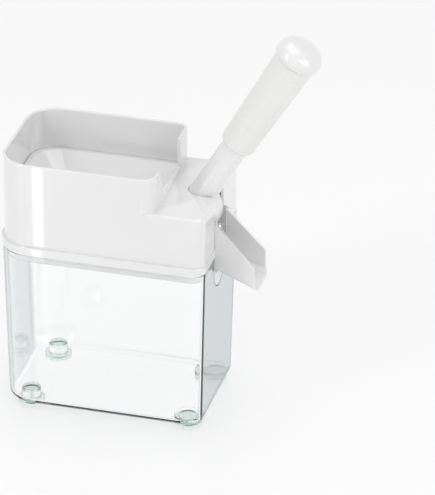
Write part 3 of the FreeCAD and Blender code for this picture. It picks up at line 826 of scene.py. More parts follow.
# ------------------------------------------------------------------ container
@dataclass
class StoneContainer:
    """Clear container with its U notch and foot sockets, and the four soft feet."""

    plan: Plan
    base_z: float = 4.5
    wall: float = 2.6
    draft: float = 1.1
    sole: float = 5.0
    floor_r: float = 3.0
    lip: float = 0.6
    lip_ease: float = 0.15
    rear_low: float = 7.5
    foot_d: float = 20.0
    foot_air: float = 0.06
    plug_d: float = 14.0
    plug_h: float = 2.2
    plug_fit: float = 0.05
    plug_head: float = 0.2
    socket_rim: float = 0.2
    socket_h: float = 1.8
    post_h: float = 6.7
    post_d: float = 14.4
    notch_in: float = 12.0
    notch_out: float = 6.0
    edge: float = 0.35
    feet: dict[str, Pair] = field(default_factory=lambda: {
        "front_left": (-57.0, -34.0), "front_right": (64.0, -34.0),
        "back_right": (64.0, 34.0), "back_left": (-57.0, 34.0)})

    def lean(self, z: float) -> float:
        """How far the outer wall has come in at height z."""
        return math.tan(math.radians(self.draft)) * (self.plan.rim_z - z)

    def profile(self) -> list[Pair]:
        """Inset and height of each ring, from the underside up the outside and down the inside.

        Returns:
            Pairs of inset and height, in millimetres.
        """
        z0, top, lip, ease = self.base_z, self.plan.rim_z, self.lip, self.lip_ease
        w, r, floor = self.wall, self.floor_r, z0 + self.wall
        outside = [(self.lean(z0) + self.sole * (1 - math.sin(t)), z0 + self.sole * (1 - math.cos(t)))
                   for t in quarter()]
        rim = [(self.lean(top - lip), top - lip), (ease, top - ease), (lip, top),
               (w - lip, top), (w - ease, top - ease), (w, top - lip)]
        inside = [(self.lean(floor) + w + r * (1 - math.cos(t)), floor + r * (1 - math.sin(t)))
                  for t in quarter()]
        return outside + rim + inside

    def ring(self, inset: float, z: float) -> Ring:
        """Outline of a wall at its inset and height; the rear right corner opens out towards the floor.

        Args:
            inset: how far it is moved in, in millimetres.
            z: its height.

        Returns:
            Its points in order, in metres.
        """
        share = (self.plan.rim_z - z) / (self.plan.rim_z - self.base_z)
        rear = self.plan.r_rear + (self.rear_low - self.plan.r_rear) * share - (inset - self.lean(z))
        return self.plan.rim(inset, z, max(1.0, rear))

    def socket(self, x: float) -> list[Pair]:
        """Radius and height of each step of a foot's socket: a post on the left, a low ring on the right.

        Args:
            x: the foot's X, below 0 on the left.

        Returns:
            Pairs of radius and height above the container's floor.
        """
        ring, post, top = self.foot_d / 2 + self.socket_rim, self.post_d / 2, self.post_h
        if x < 0:
            return [(post + 0.1, -1.0), (post, 1.6), (post - 0.3, top - 1.3), (post - 0.6, top - 0.4),
                    (post - 1.2, top)]
        return [(ring, -1.0), (ring, 1.4), (ring - 0.4, self.socket_h)]

    def shell(self) -> bpy.types.Object:
        """Container body.

        Returns:
            The finished object.
        """
        body = Bench.stack("container_shell", [self.ring(i, z) for i, z in self.profile()])
        floor = self.base_z + self.wall
        for x, y in self.feet.values():
            rings = [circle(r, floor + z, x=x, y=y) for r, z in self.socket(x)]
            Bench.join(body, [Bench.stack("socket", rings)])
        span = (self.base_z - 1, self.base_z + self.plug_h + self.plug_head)
        for x, y in self.feet.values():
            Bench.cut(body, [Bench.bar("plug_hole", self.plug_d / 2 + self.plug_fit, span, x, y)])
        x1 = self.plan.rim_x / 2
        outline = self.plan.notch(0.0, self.plan.rim_z + 5)
        Bench.cut(body, [Bench.plate("notch", outline, Plane.YZ, x1 - self.notch_in, x1 + self.notch_out)])
        return Bench.soften(body, self.edge, 2, 40.0)

    def foot(self, key: str) -> bpy.types.Object:
        """One soft foot: a stepped pad with a hollow under it and a plug on top.

        Args:
            key: which foot.

        Returns:
            The finished object.
        """
        x, y = self.feet[key]
        r, p, top = self.foot_d / 2, self.plug_d / 2, self.base_z - self.foot_air
        hollow = [(3.0, 1.2), (r - 4.3, 1.2), (r - 4.0, 0.9), (r - 4.0, 0.2)]
        pad = [(r - 3.8, 0.0), (r - 1.0, 0.0), (r - 0.3, 0.25), (r, 1.0)]
        shoulder = [(r, top - 0.3), (r - 0.3, top)]
        plug = [(p, top), (p, top + self.plug_h - 0.3), (p - 0.3, top + self.plug_h)]
        rings = [circle(q, z, x=x, y=y) for q, z in hollow + pad + shoulder + plug]
        return Bench.soften(Bench.stack("foot_%s_soft" % key, rings), 0.0)

    def build(self, looks: Finishes) -> None:
        """Model and dress the container and its feet.

        Args:
            looks: the object's finishes.
        """
        Piece(self.shell(), looks.clear, "container", "clear_plastic", ["stone_container"])
        for key in self.feet:
            Piece(self.foot(key), looks.foot, "container", "clear_rubber", ["foot_" + key])


# ------------------------------------------------------------------ housing
@dataclass
class HopperHousing:
    """White shell: foot flange, hopper with its scoop, deck with the lever slot, skirt, ribs and bosses."""

    plan: Plan
    base_z: float = 132.4
    flange_t: float = 0.69
    flange_z: float = 139.0
    wall: float = 2.4
    deck_z: float = 178.5
    deck_t: float = 2.0
    deck_r: float = 2.2
    hopper_z: float = 205.5
    ledge_z: float = 172.0
    skirt_drop: float = 6.0
    skirt_t: float = 2.0
    fit: float = 0.4
    foot_z: float = 138.0
    slot_w: float = 21.2
    slot_end_r: float = 10.35
    chute_w: float = 28.4
    chute_top: float = 160.2
    scoop_front: float = -33.0
    scoop_low: float = -22.7
    scoop_back: float = 22.0
    scoop_z: float = 186.0
    scoop_fall: float = 4.0
    screw_x: Pair = (48.8, 68.9)
    screw_y: float = 22.0
    boss_d: float = 8.0
    boss_l: float = 10.5
    boss_sink: float = 0.5
    pilot_r: float = 1.5
    pilot_end: float = 1.5
    rib_x: Pair = (-45.0, 0.0)
    rib_y: float = 15.0
    rib_drop: float = 9.0
    rib_reach: float = 3.0
    rib_sink: float = 0.5
    rib_half: float = 1.0
    skirt_air: float = 0.1
    step_x: float = 60.0
    wide: float = 80.0
    far_x: float = 90.0
    edge: float = 0.45
    edge_band: float = 0.05

    def outer(self) -> bpy.types.Object:
        """Lower body with its foot flange and soft deck edge, and the hopper on it.

        Returns:
            The solid body, not yet hollow.
        """
        r, out, low, land, top = self.deck_r, -self.flange_t, self.base_z, self.flange_z, self.hopper_z
        rings = [self.plan.face(0.0, low + 0.5)]
        rings += [self.plan.face(r * (1 - math.cos(t)), self.deck_z - r + r * math.sin(t)) for t in quarter()]
        body = Bench.stack("housing_shell", rings)
        flange = [(out + 0.25, low), (out, low + 0.25), (out, land - 0.4), (out + 0.08, land - 0.2),
                  (out + 0.2, land - 0.08), (out + 0.4, land)]
        Bench.join(body, [Bench.stack("flange", [self.plan.rim(q, z) for q, z in flange])])
        hopper = [(1.0, low + 0.6), (0.0, low + 1.0), (0.0, top - 0.7), (0.2, top - 0.2), (0.7, top)]
        return Bench.join(body, [Bench.stack("hopper", [self.plan.hopper(q, z) for q, z in hopper])])

    def cavities(self) -> list[bpy.types.Object]:
        """Solids that hollow the shell: under the deck, right of the hopper and the hopper itself.

        Returns:
            The solids to cut out.
        """
        w, edge, ledge, top = self.wall, self.plan.inset + self.wall, self.ledge_z, self.hopper_z
        far, wide = self.far_x, self.wide
        low = Bench.stack("cavity_low", [self.plan.rim(edge, z) for z in (self.base_z - 1, ledge)])
        step = Bench.stack("cavity_step", [self.plan.face(w, z) for z in (self.foot_z, ledge - 0.2)])
        keep = Bench.block("keep", (self.step_x, -wide, self.foot_z - 2), (far, wide, ledge + 2))
        Bench.join(step, [keep], "INTERSECT")
        heights = (ledge - 0.5, self.deck_z - self.deck_t)
        right = Bench.stack("cavity_right", [self.plan.face(w, z) for z in heights])
        keep = Bench.block("keep", (self.plan.hopper_x, -wide, ledge - 2), (far, wide, self.deck_z + 1))
        Bench.join(right, [keep], "INTERSECT")
        mouth = [(w, ledge - 0.5), (w, top - 0.6), (w - 0.5, top + 0.05), (w - 0.5, top + 2)]
        hopper = Bench.stack("cavity_hopper", [self.plan.hopper(q, z) for q, z in mouth])
        return [low, step, right, hopper]

    def skirt(self) -> bpy.types.Object:
        """Wall below the seam that drops inside the container.

        Returns:
            The skirt, as a closed ring.
        """
        i = StoneContainer.wall + self.fit + self.skirt_air
        o, z0, z1 = i + self.skirt_t, self.plan.rim_z - self.skirt_drop, self.plan.rim_z + 3
        wall = [(i, z1), (i, z0 + 0.4), (i + 0.3, z0), (o - 0.3, z0), (o, z0 + 0.4), (o, z1)]
        return Bench.stack("skirt", [self.plan.rim(q, z) for q, z in wall], hollow=True)

    def fittings(self) -> list[bpy.types.Object]:
        """Ribs that carry the feed tray and bosses for the frame's screws.

        Returns:
            The solids to add.
        """
        made: list[bpy.types.Object] = []
        z, under, sink, half = self.ledge_z, self.ledge_z - self.rib_drop, self.rib_sink, self.rib_half
        x0 = -self.plan.rim_x / 2 + self.plan.inset + self.wall
        for y in (-self.rib_y, self.rib_y):
            profile = [(x0 - sink, under), (x0 + self.rib_reach, z), (x0 - sink, z)]
            made.append(Bench.plate("rib", profile, Plane.XZ, y - half, y + half))
        y0 = self.plan.rim_y / 2 - self.plan.inset - self.wall
        for x in self.rib_x:
            for s in (-1, 1):
                profile = [(s * (y0 + sink), under), (s * (y0 - self.rib_reach), z), (s * (y0 + sink), z)]
                made.append(Bench.plate("rib", profile, Plane.YZ, x - half, x + half))
        low = self.deck_z - self.deck_t - self.boss_l
        span = (low, low + self.boss_l + self.boss_sink)
        made += [Bench.bar("boss", self.boss_d / 2, span, x, y, 32) for x, y in self.screws()]
        return made

    def screws(self) -> list[Pair]:
        """Places of the frame's four screws."""
        return [(x, s * self.screw_y) for x in self.screw_x for s in (-1, 1)]

    def scoop(self) -> bpy.types.Object:
        """Hand scoop in the hopper's right wall: curved at the front, a falling lip, upright at the back.

        Returns:
            The solid to cut out.
        """
        top = self.hopper_z + 1
        span, drop = self.scoop_low - self.scoop_front, self.scoop_z - top
        front = [(self.scoop_front + span * t, top + drop * self.fall(t)) for t in shares(10)]
        profile = front + [(self.scoop_back, self.scoop_z - self.scoop_fall), (self.scoop_back, top)]
        x = self.plan.hopper_x
        return Bench.plate("scoop", profile, Plane.YZ, x - self.wall - 2, x + 2)

    @staticmethod
    def fall(t: float) -> float:
        """Share of the scoop's drop at t across its curved front."""
        return t - 0.1 * math.sin(math.pi * t)

    def openings(self) -> list[bpy.types.Object]:
        """Lever slot, chute opening, scoop and screw pilots.

        Returns:
            The solids to cut out.
        """
        w, lever, far = self.slot_w / 2, Lever(), self.far_x
        hall, hole = self.plan.rim_x / 2 - self.plan.inset_right, self.chute_w / 2 + self.fit
        under = self.plan.rim_z - self.skirt_drop - 1
        made = [Bench.block("slot", (lever.deck_x, -w, self.chute_top - 1), (far, w, self.deck_z + 1)),
                lever.rod("slot_end", self.slot_end_r, -10.0, 10.0),
                Bench.block("chute_hole", (hall - 8, -hole, under), (far, hole, self.chute_top)),
                self.scoop()]
        low = self.deck_z - self.deck_t - self.boss_l
        span = (low - 1, low + self.boss_l - self.pilot_end)
        return made + [Bench.bar("pilot", self.pilot_r, span, x, y, 24) for x, y in self.screws()]

    def build(self, looks: Finishes) -> None:
        """Model and dress the housing.

        Args:
            looks: the object's finishes.
        """
        body = self.outer()
        Bench.cut(body, self.cavities())
        Bench.join(body, [self.skirt(), *self.fittings()])
        Bench.cut(body, self.openings())
        Bench.tidy(body)
        spare = (self.base_z - self.edge_band, self.flange_z + self.edge_band)
        body = Bench.soften(body, self.edge, 2, 35.0, spare)
        Piece(body, looks.shell, "housing", "white_plastic", ["housing"])


@dataclass
class FeedTray:
    """Funnel floor of the hopper with the sunken lane that leads to the seat."""

    plan: Plan
    gap: float = 2.7
    thick: float = 2.0
    rim: float = 4.0
    top_z: float = 174.0
    mouth_x: Pair = (-42.0, 29.0)
    mouth_r: float = 3.0
    mouth_z: float = 152.0
    lane: float = 14.0
    lane_x1: float = 30.0
    seat_z: float = 125.0
    fall: float = 20.0

    def funnel(self, extra: float) -> bpy.types.Object:
        """Solid funnel, grown by extra on all sides.

        Args:
            extra: how far it is grown, in millimetres.

        Returns:
            The funnel.
        """
        x0, x1 = self.mouth_x[0] - extra, self.mouth_x[1] + extra
        y = self.lane + extra
        low = rounded(x0, x1, -y, y, (self.mouth_r + extra,) * 4, self.mouth_z)
        return Bench.stack("funnel", [low, self.plan.hopper(self.gap + self.rim - extra, self.top_z)])

    def build(self, looks: Finishes) -> None:
        """Model and dress the tray.

        Args:
            looks: the object's finishes.
        """
        out, into, ledge = self.gap, self.gap + self.rim, self.top_z - self.thick
        rim = [(out, ledge), (out, self.top_z), (into, self.top_z), (into, ledge)]
        body = Bench.stack("feed_tray_funnel", [self.plan.hopper(q, z) for q, z in rim], hollow=True)
        y, t, x0, x1, z = self.lane, self.thick, self.mouth_x[0], self.lane_x1, self.mouth_z
        left, right = self.seat_z + self.fall, self.seat_z + 1.0
        profile = [(x0 - t, z), (x0 - t, left - t), (x1, right - t), (x1, z)]
        trough = Bench.plate("trough", profile, Plane.XZ, -y - t, y + t)
        Bench.join(body, [self.funnel(t), trough])
        profile = [(x0, z + 1), (x0, left), (x1 + 3, right - 0.3), (x1 + 3, z + 1)]
        lane = Bench.plate("lane", profile, Plane.XZ, -y, y)
        Bench.cut(body, [self.funnel(0.0), lane])
        Bench.tidy(body)
        Piece(Bench.soften(body, 0.5, 2, 20.0), looks.shell, "housing", "white_plastic", ["feed_tray"])


@dataclass
class Chute:
    """U-section spout with cheeks inside the housing's opening and a tongue that fills the notch."""

    plan: Plan
    width: float = 28.4
    tip_width: float = 33.2
    thick: float = 2.0
    x0: float = 78.9
    tip_x: float = 109.2
    end_x: float = 111.4
    top_z: float = 160.2
    tip_top: float = 126.9
    floor_z: float = 121.5
    tip_z: float = 107.5
    end_z: float = 112.0
    bend_out: float = 5.0
    bend_in: float = 3.4
    neck_x: float = 73.7
    neck_side: float = 0.8
    cheek_in: float = 2.6
    tongue_in: float = 2.5
    fit: float = 0.4

    def section(self, top: float, floor: float, width: float) -> list[Pair]:
        """U outline in Y and Z: down the outside, round the bottom and back up the inside.

        Args:
            top: height of the sides' ends.
            floor: height of the inner floor.
            width: outer width.

        Returns:
            The closed outline, from the top of the front side.
        """
        w, v, under = width / 2, width / 2 - self.thick, floor - self.thick
        r, q = self.bend_out, self.bend_in
        outside = arc(-w + r, under + r, r, 180, 270, 6) + arc(w - r, under + r, r, 270, 360, 6)
        inside = arc(v - q, floor + q, q, 0, -90, 6) + arc(-v + q, floor + q, q, 270, 180, 6)
        return [(-w, top)] + outside + [(w, top), (v, top)] + inside + [(-v, top)]

    def spout(self) -> bpy.types.Object:
        """The falling U-section with its slanted lower tip.

        Returns:
            The spout.
        """
        start = [at(self.x0, y, z) for y, z in self.section(self.top_z, self.floor_z + 0.13, self.width)]
        slope = (self.end_x - self.tip_x) / (self.end_z - self.tip_z)
        tip = [at(self.tip_x + max(0.0, self.end_z - z) * slope, y, z)
               for y, z in self.section(self.tip_top, self.tip_z + self.thick, self.tip_width)]
        return Bench.stack("chute_spout", [start, tip])

    def build(self, looks: Finishes) -> None:
        """Model and dress the chute.

        Args:
            looks: the object's finishes.
        """
        body = self.spout()
        w, t, x0 = self.width / 2, self.thick, self.x0
        hall = self.plan.rim_x / 2 - self.plan.inset_right
        under = self.floor_z - t
        profile = [(self.neck_x, under), (x0 + 1, under), (x0 + 1, self.floor_z),
                   (self.neck_x, self.floor_z + 0.4)]
        neck = Bench.plate("neck", profile, Plane.XZ, -w + self.neck_side, w - self.neck_side)
        cheeks = [Bench.block("cheek", (hall - self.cheek_in, y, self.floor_z - 0.4),
                              (x0 + 1, y + t, self.top_z - 1)) for y in (-w, w - t)]
        tx, top = self.plan.rim_x / 2 - self.tongue_in, self.floor_z - 0.5
        tongue = Bench.plate("tongue", self.plan.notch(-self.fit, self.plan.rim_z), Plane.YZ, tx, tx + t)
        Bench.cut(tongue, [Bench.block("over", (tx - 1, -w - 1, top), (tx + 5, w + 1, self.plan.rim_z + 5))])
        Bench.join(body, [neck, *cheeks, tongue])
        Bench.tidy(body)
        Piece(Bench.soften(body, 0.5, 2, 30.0), looks.shell, "housing", "white_plastic", ["chute"])


# ------------------------------------------------------------------ lever
@dataclass
class Lever:
    """Arm with its fork and the quadrants that close the slot, tapered grip and domed end cap."""

    tilt: float = 30.6
    deck_x: float = 67.3
    deck_z: float = 178.5
    deck_low: float = 176.5
    pivot: Pair = (43.0, 158.0)
    crank: Pair = (67.53, 170.5)
    pivot_r: float = 7.5
    crank_r: float = 5.5
    pin_d: float = 5.0
    throat_r: float = 8.8
    gap: float = 6.2
    cheek_y: float = 9.95
    quadrant_r: float = 34.9
    quadrant_in: float = 14.0
    strip_t: float = 0.6
    strip_turn: Pair = (-3.0, 29.6)
    peg_r: float = 1.0
    peg_x: float = 2.55
    arm_d: float = 20.2
    arm_l: float = 47.5
    spigot_d: float = 15.0
    spigot_l: float = 58.0
    core_d: float = 7.0
    core_span: Pair = (14.0, 130.0)
    grip_l: float = 84.4
    grip_d0: float = 26.4
    grip_d1: float = 30.8
    cap_d: float = 34.6
    cap_l: float = 14.44
    cap_lip: float = 3.0
    cap_gap: float = 0.3
    plug_r: float = 11.0
    plug_l: float = 12.0
    bore: float = 15.1

    def on_axis(self, along: float) -> Matrix:
        """Place on the lever's axis, along it from the deck.

        Args:
            along: distance from the deck, in millimetres.

        Returns:
            The place, with Z along the lever.
        """
        turn = Matrix.Rotation(math.radians(self.tilt), 4, "Y")
        start = at(self.deck_x, 0, self.deck_z)
        return Matrix.Translation(start) @ turn @ Matrix.Translation((0, 0, along * MM))

    def turned(self, name: str, profile: Sequence[Pair], along: float, count: int = 72,
               hollow: bool = False) -> bpy.types.Object:
        """Turn a profile of radius and height and set it on the lever's axis.

        Args:
            name: name of the object.
            profile: pairs of radius and height.
            along: distance from the deck at which it starts.
            count: flats round it.
            hollow: join the last ring to the first, as for a sleeve.

        Returns:
            The finished object.
        """
        piece = Bench.stack(name, [circle(r, z, count, MIDDLE) for r, z in profile], hollow)
        return Bench.soften(Bench.seat(piece, self.on_axis(along)), 0.0)

    def grip(self) -> bpy.types.Object:
        """Tapered hand grip.

        Returns:
            The finished object.
        """
        r0, r1, n, b = self.grip_d0 / 2, self.grip_d1 / 2, self.grip_l, self.bore / 2
        lower = [(b, 0.3), (b + 0.3, 0.0), (r0 - 1.6, 0.0)]
        lower += [(r0 - 1.6 + x, 1.6 + z) for x, z in arc(0, 0, 1.6, -75, 0, 5)]
        taper = [(r0 + (r1 - r0) * t, 1.6 + (n - 2.6) * t) for t in shares(8)[1:]]
        upper = [(r1 - 1.0 + x, n - 1.0 + z) for x, z in arc(0, 0, 1.0, 15, 90, 5)]
        inside = [(self.plug_r, n), (self.plug_r, n - self.plug_l), (b, n - self.plug_l - 2.0)]
        return self.turned("lever_grip_sleeve", lower + taper + upper + inside, self.arm_l, hollow=True)

    def cap(self) -> bpy.types.Object:
        """Domed end cap with its plug.

        Returns:
            The finished object.
        """
        r, n, lip = self.cap_d / 2, self.cap_l, self.cap_lip
        plug = [(4.0, -10.0), (10.4, -10.0), (10.8, -9.6), (10.8, 0.0)]
        skirt = [(r - 1.6, 0.0), (r - 0.9, 0.15), (r - 0.35, 0.55), (r, 1.4), (r, lip)]
        dome = [(r * math.cos(t) ** 0.8, lip + (n - lip) * math.sin(t) ** 0.9) for t in quarter(20)[1:-1]]
        return self.turned("lever_cap_dome", plug + skirt + dome, self.arm_l + self.grip_l + self.cap_gap)

    def round_plate(self, name: str, start: Pair, r0: float, end: Pair, r1: float,
                    side: int) -> bpy.types.Object:
        """Cheek plate with two round ends joined by their tangents.

        Args:
            name: name of the object.
            start, end: centres of the ends in X and Z.
            r0, r1: their radii.
            side: -1 for the front cheek, 1 for the rear one.

        Returns:
            The plate.
        """
        dx, dz = end[0] - start[0], end[1] - start[1]
        base = math.degrees(math.atan2(dz, dx))
        off = math.degrees(math.acos((r0 - r1) / math.hypot(dx, dz)))
        outline = arc(*start, r0, base + off, base + 360 - off, 24)
        outline += arc(*end, r1, base - off, base + off, 16)
        return Bench.plate(name, outline, Plane.XZ, *self.cheek_span(side))

    def cheek_span(self, side: int) -> Pair:
        """Where a cheek starts and ends along Y."""
        return (self.gap, self.cheek_y) if side > 0 else (-self.cheek_y, -self.gap)

    def fork(self) -> list[bpy.types.Object]:
        """Cheeks, flares into the arm and quadrants, front and rear.

        Returns:
            The solids to add to the arm.
        """
        (px, pz), (cx, cz) = self.pivot, self.crank
        half = self.arm_d / 2
        lean = math.degrees(math.asin((self.deck_low - pz) / self.quadrant_r))
        quadrant = [(px + self.quadrant_in, pz)] + arc(px, pz, self.quadrant_r, 0, lean, 18)
        quadrant += [(self.deck_x - 4, self.deck_low), (cx - 4, cz)]
        flare = [(cx - 12.5, cz - 2.0), (cx + 5.0, cz - 2.0), (cx + 6.0, self.deck_low - 0.4),
                 (self.deck_x - half, self.deck_low - 0.4)]
        made: list[bpy.types.Object] = []
        for side in (-1, 1):
            span = self.cheek_span(side)
            made.append(self.round_plate("cheek", self.pivot, self.pivot_r, self.crank, self.crank_r, side))
            made.append(Bench.plate("flare", flare, Plane.XZ, *span))
            made.append(Bench.plate("quadrant", quadrant, Plane.XZ, *span))
        return made

    def strip(self) -> bpy.types.Object:
        """Thin curved strip on the quadrants' rims that covers the gap between them.

        Returns:
            The strip.
        """
        low, high = self.quadrant_r - 0.1, self.quadrant_r + self.strip_t
        start, end = self.strip_turn
        outline = arc(*self.pivot, high, start, end, 18) + arc(*self.pivot, low, end, start, 18)
        return Bench.plate("strip", outline, Plane.XZ, -self.cheek_y + 0.1, self.cheek_y - 0.1)

    def rod(self, name: str, radius: float, start: float, end: float, count: int = 96) -> bpy.types.Object:
        """Round bar on the lever's axis between two distances from the deck."""
        return Bench.seat(Bench.bar(name, radius, (start, end), MIDDLE, 0.0, count), self.on_axis(0))

    def cross_pin(self, name: str, centre: Pair, radius: float, half: float) -> bpy.types.Object:
        """Round bar across the fork."""
        return Bench.plate(name, self.loop(*centre, radius, 32), Plane.XZ, -half, half)

    @staticmethod
    def loop(x: float, z: float, radius: float, count: int) -> list[Pair]:
        """Full circle of count points about x, z."""
        return arc(x, z, radius, 0, 360 - 360 / count, count - 1)

    def arm(self) -> bpy.types.Object:
        """Arm, fork, spring peg and the spigot that the grip sits on.

        Returns:
            The finished object.
        """
        (px, pz), (_, cz) = self.pivot, self.crank
        low, far, across, bite = 90.0, 120.0, 30.0, 0.1
        body = self.rod("lever_arm_forked", self.arm_d / 2, -26.0, self.arm_l)
        Bench.cut(body, [Bench.block("below", (0, -40, low), (far, 40, cz - self.pin_d))])
        outline = self.loop(px + self.peg_x, pz + self.pivot_r - 1.4, self.peg_r, 16)
        peg = Bench.plate("peg", outline, Plane.XZ, self.cheek_y - 0.9, self.arm_d / 2 + 1.4)
        start, end = self.arm_l - bite, self.arm_l + self.spigot_l - bite
        Bench.join(body, [*self.fork(), self.rod("spigot", self.spigot_d / 2, start, end, 64), peg])
        Bench.cut(body, [Bench.block("gap", (0, -self.gap, low), (far, self.gap, self.deck_z - 0.5)),
                         self.cross_pin("throat", self.crank, self.throat_r, self.gap),
                         self.cross_pin("pivot_bore", self.pivot, self.pin_d / 2 + 0.05, across),
                         self.cross_pin("crank_bore", self.crank, self.pin_d / 2, across),
                         self.rod("core_bore", self.core_d / 2, *self.core_span, 48)])
        Bench.join(body, [self.strip()])
        return Bench.soften(body, 0.3, 2, 42.0)

    def build(self, looks: Finishes) -> None:
        """Model and dress the lever.

        Args:
            looks: the object's finishes.
        """
        Piece(self.arm(), looks.shell, "lever", "white_plastic", ["lever_arm"])
        Piece(self.grip(), looks.grip, "lever", "grip_plastic", ["lever_grip"])
        Piece(self.cap(), looks.shell, "lever", "white_plastic", ["lever_end_cap"])


# ------------------------------------------------------------------ hidden works
@dataclass
class PittingWorks:
    """Frame, rail, seat, stripper, screws, pins, carriage, spring and needle."""

    moulded: dict[str, str] = field(default_factory=lambda: {
        "pitting_frame": "housing", "needle_carriage": "needle"})
    steel: dict[str, str] = field(default_factory=lambda: {
        "guide_rail": "housing", "stripper_plate": "housing", "frame_screws": "housing",
        "pivot_pin_front": "housing", "pivot_pin_rear": "housing", "lever_core": "lever",
        "crank_pin": "lever", "return_spring": "lever", "needle": "needle"})

    def dress(self, nodes: dict[str, bpy.types.Object], names: dict[str, str], material: bpy.types.Material,
              slot: str, width: float) -> None:
        """Finish the named solids with softened edges and the material.

        Args:
            nodes: the frame's nodes by name.
            names: the nodes to finish, each with its body.
            material: their finish.
            slot: their material slot.
            width: width of the edges' rounding, in millimetres.
        """
        for name, body in names.items():
            twin = Bench.soften(Bench.likeness(nodes[name], name + "_made"), width, 1, 45.0)
            Piece(twin, material, body, slot, [name])

    def build(self, looks: Finishes, nodes: dict[str, bpy.types.Object]) -> None:
        """Dress the hidden works.

        Args:
            looks: the object's finishes.
            nodes: the frame's nodes by name.
        """
        self.dress(nodes, self.moulded, looks.inner, "white_plastic", 0.3)
        self.dress(nodes, self.steel, looks.steel, "steel", 0.0)
        self.dress(nodes, {"cherry_seat": "housing"}, looks.silicone, "silicone", 0.15)


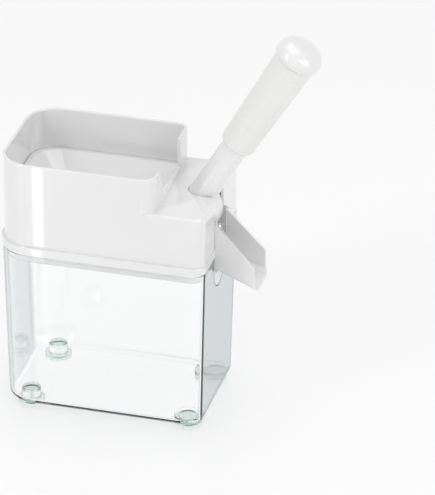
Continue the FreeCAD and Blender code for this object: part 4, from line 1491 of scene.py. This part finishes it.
# ------------------------------------------------------------------ studio
@dataclass
class Studio:
    """Pale floor, soft lamps and the camera."""

    azimuth: float = 16.79
    elevation: float = 28.29
    roll: float = -0.626
    distance: float = 3.117
    focal_px: float = 4252.0
    target: tuple[float, float, float] = (0.0, 0.0, 150.0)
    target_px: Pair = (116.47, 212.53)
    width_px: int = 435
    height_px: int = 495
    sensor: float = 36.0
    clip: Pair = (0.1, 30.0)

    def camera(self) -> bpy.types.Object:
        """Camera at the viewing angle, aimed so that the target falls on its pixel.

        Returns:
            The camera.
        """
        a, e, q = (math.radians(v) for v in (self.azimuth, self.elevation, self.roll))
        back = Vector((math.sin(a) * math.cos(e), -math.cos(a) * math.cos(e), math.sin(e)))
        right = Vector((math.cos(a), math.sin(a), 0.0))
        up = back.cross(right)
        right, up = right * math.cos(q) + up * math.sin(q), up * math.cos(q) - right * math.sin(q)
        place = at(*self.target) + back * self.distance
        dx = self.width_px / 2 - self.target_px[0]
        dy = self.target_px[1] - self.height_px / 2
        forward = (-back * self.focal_px + right * dx + up * dy).normalized()
        side = forward.cross(up).normalized()
        head = side.cross(forward).normalized()
        bpy.ops.object.camera_add()
        cam = bpy.context.object
        cam.name = "camera"
        cam.data.sensor_width = self.sensor
        cam.data.lens = self.sensor * self.focal_px / max(self.width_px, self.height_px)
        cam.data.clip_start, cam.data.clip_end = self.clip
        turn = Matrix((side, head, -forward)).transposed().to_4x4()
        cam.matrix_world = Matrix.Translation(place) @ turn
        bpy.context.scene.camera = cam
        return cam

    def lamp(self, name: str, place: Sequence[float], size: Pair, power: float,
             aim: Sequence[float] = (0.02, 0.0, 0.12), only_gloss: bool = False) -> bpy.types.Object:
        """Soft rectangular lamp aimed at a point.

        Args:
            name: name of the lamp.
            place: where it stands, in metres.
            size: its width and height.
            power: in watts.
            aim: the point it faces.
            only_gloss: keep it out of direct view and out of the view through clear plastic.

        Returns:
            The lamp.
        """
        bpy.ops.object.light_add(type="AREA", location=place)
        lamp = bpy.context.object
        lamp.name = name
        lamp.data.shape = "RECTANGLE"
        lamp.data.size, lamp.data.size_y = size
        lamp.data.energy = power
        lamp.visible_camera = lamp.visible_transmission = not only_gloss
        lamp.rotation_euler = (Vector(place) - Vector(aim)).to_track_quat("Z", "Y").to_euler()
        return lamp

    @staticmethod
    def seen(tree: bpy.types.NodeTree, share: float, through: float) -> bpy.types.NodeSocket:
        """Share of plain white that is shown to the viewer, in gloss and through clear plastic.

        Args:
            tree: the node tree to add to.
            share: share of white in direct view and in gloss.
            through: share of white through clear plastic.

        Returns:
            Socket with the share for the ray at hand.
        """
        path = tree.nodes.new("ShaderNodeLightPath")
        either = tree.nodes.new("ShaderNodeMath")
        either.operation = "MAXIMUM"
        tree.links.new(path.outputs["Is Camera Ray"], either.inputs[0])
        tree.links.new(path.outputs["Is Glossy Ray"], either.inputs[1])
        parts: list[bpy.types.NodeSocket] = []
        rays = ((either.outputs["Value"], share), (path.outputs["Is Transmission Ray"], through))
        for socket, level in rays:
            part = tree.nodes.new("ShaderNodeMath")
            part.operation = "MULTIPLY"
            tree.links.new(socket, part.inputs[0])
            part.inputs[1].default_value = level
            parts.append(part.outputs["Value"])
        most = tree.nodes.new("ShaderNodeMath")
        most.operation = "MAXIMUM"
        tree.links.new(parts[0], most.inputs[0])
        tree.links.new(parts[1], most.inputs[1])
        return most.outputs["Value"]

    def floor(self, share: float = 0.60, through: float = 0.92) -> bpy.types.Object:
        """Plain pale floor with a faint sheen, white to the viewer except where the object shades it.

        Args:
            share: share of white in direct view and in gloss.
            through: share of white through clear plastic.

        Returns:
            The floor.
        """
        Bench.clear()
        bpy.ops.mesh.primitive_plane_add(size=9.0)
        floor = bpy.context.object
        floor.name = "floor"
        n = Nodes("pale_floor")
        shader = n.add("ShaderNodeBsdfPrincipled")
        where = n.place()
        pale, paler = (0.95, 0.95, 0.95), (0.97, 0.97, 0.97)
        n.link(n.blend(n.noise(where, 3.0), pale, paler), shader.inputs["Base Color"])
        n.link(n.spread(n.noise(where, 9.0), 0.16, 0.20), shader.inputs["Roughness"])
        white = n.add("ShaderNodeEmission")
        white.inputs["Color"].default_value = WHITE
        white.inputs["Strength"].default_value = 1.0
        mix = n.add("ShaderNodeMixShader")
        n.link(self.seen(n.tree, share, through), mix.inputs["Fac"])
        n.link(shader.outputs["BSDF"], mix.inputs[1])
        n.link(white.outputs["Emission"], mix.inputs[2])
        n.link(mix.outputs["Shader"], n.output.inputs["Surface"])
        floor.data.materials.append(n.material)
        return floor

    def world(self, level: float = 0.60) -> None:
        """Even pale surroundings, white where they are seen directly, in gloss or through clear plastic.

        Args:
            level: strength of its light.
        """
        world = bpy.data.worlds.new("studio")
        bpy.context.scene.world = world
        world.use_nodes = True
        tree = world.node_tree
        tree.nodes.clear()
        out = tree.nodes.new("ShaderNodeOutputWorld")
        lit = tree.nodes.new("ShaderNodeBackground")
        white = tree.nodes.new("ShaderNodeBackground")
        for node, strength in ((lit, level), (white, 1.0)):
            node.inputs["Color"].default_value = WHITE
            node.inputs["Strength"].default_value = strength
        mix = tree.nodes.new("ShaderNodeMixShader")
        tree.links.new(self.seen(tree, 1.0, 1.0), mix.inputs["Fac"])
        tree.links.new(lit.outputs["Background"], mix.inputs[1])
        tree.links.new(white.outputs["Background"], mix.inputs[2])
        tree.links.new(mix.outputs["Shader"], out.inputs["Surface"])

    def build(self) -> None:
        """Set up camera, floor, lamps and surroundings."""
        self.camera()
        self.floor()
        self.world()
        self.lamp("key_left", (-1.3, -1.5, 1.1), (0.5, 1.6), 12.5)
        self.lamp("top_soft", (0.1, 0.1, 2.2), (1.8, 1.8), 9.5)
        self.lamp("fill_right", (1.8, -1.0, 0.9), (1.4, 1.4), 13.0)
        self.lamp("edge_strip", at(-92.0, -192.0, 88.0), (0.008, 0.100), 0.0050, at(-47.0, -48.0, 88.0),
                  only_gloss=True)
        bpy.context.scene.view_settings.view_transform = "Standard"


def main() -> None:
    """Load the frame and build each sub-assembly in order."""
    logging.basicConfig(level=logging.INFO, format="%(message)s")
    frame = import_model()
    nodes: dict[str, bpy.types.Object] = frame["nodes"]
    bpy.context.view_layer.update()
    Studio().build()
    looks = Finishes()
    plan = Plan()
    StoneContainer(plan).build(looks)
    HopperHousing(plan).build(looks)
    FeedTray(plan).build(looks)
    Chute(plan).build(looks)
    Lever().build(looks)
    PittingWorks().build(looks, nodes)


if __name__ == "__main__":
    main()
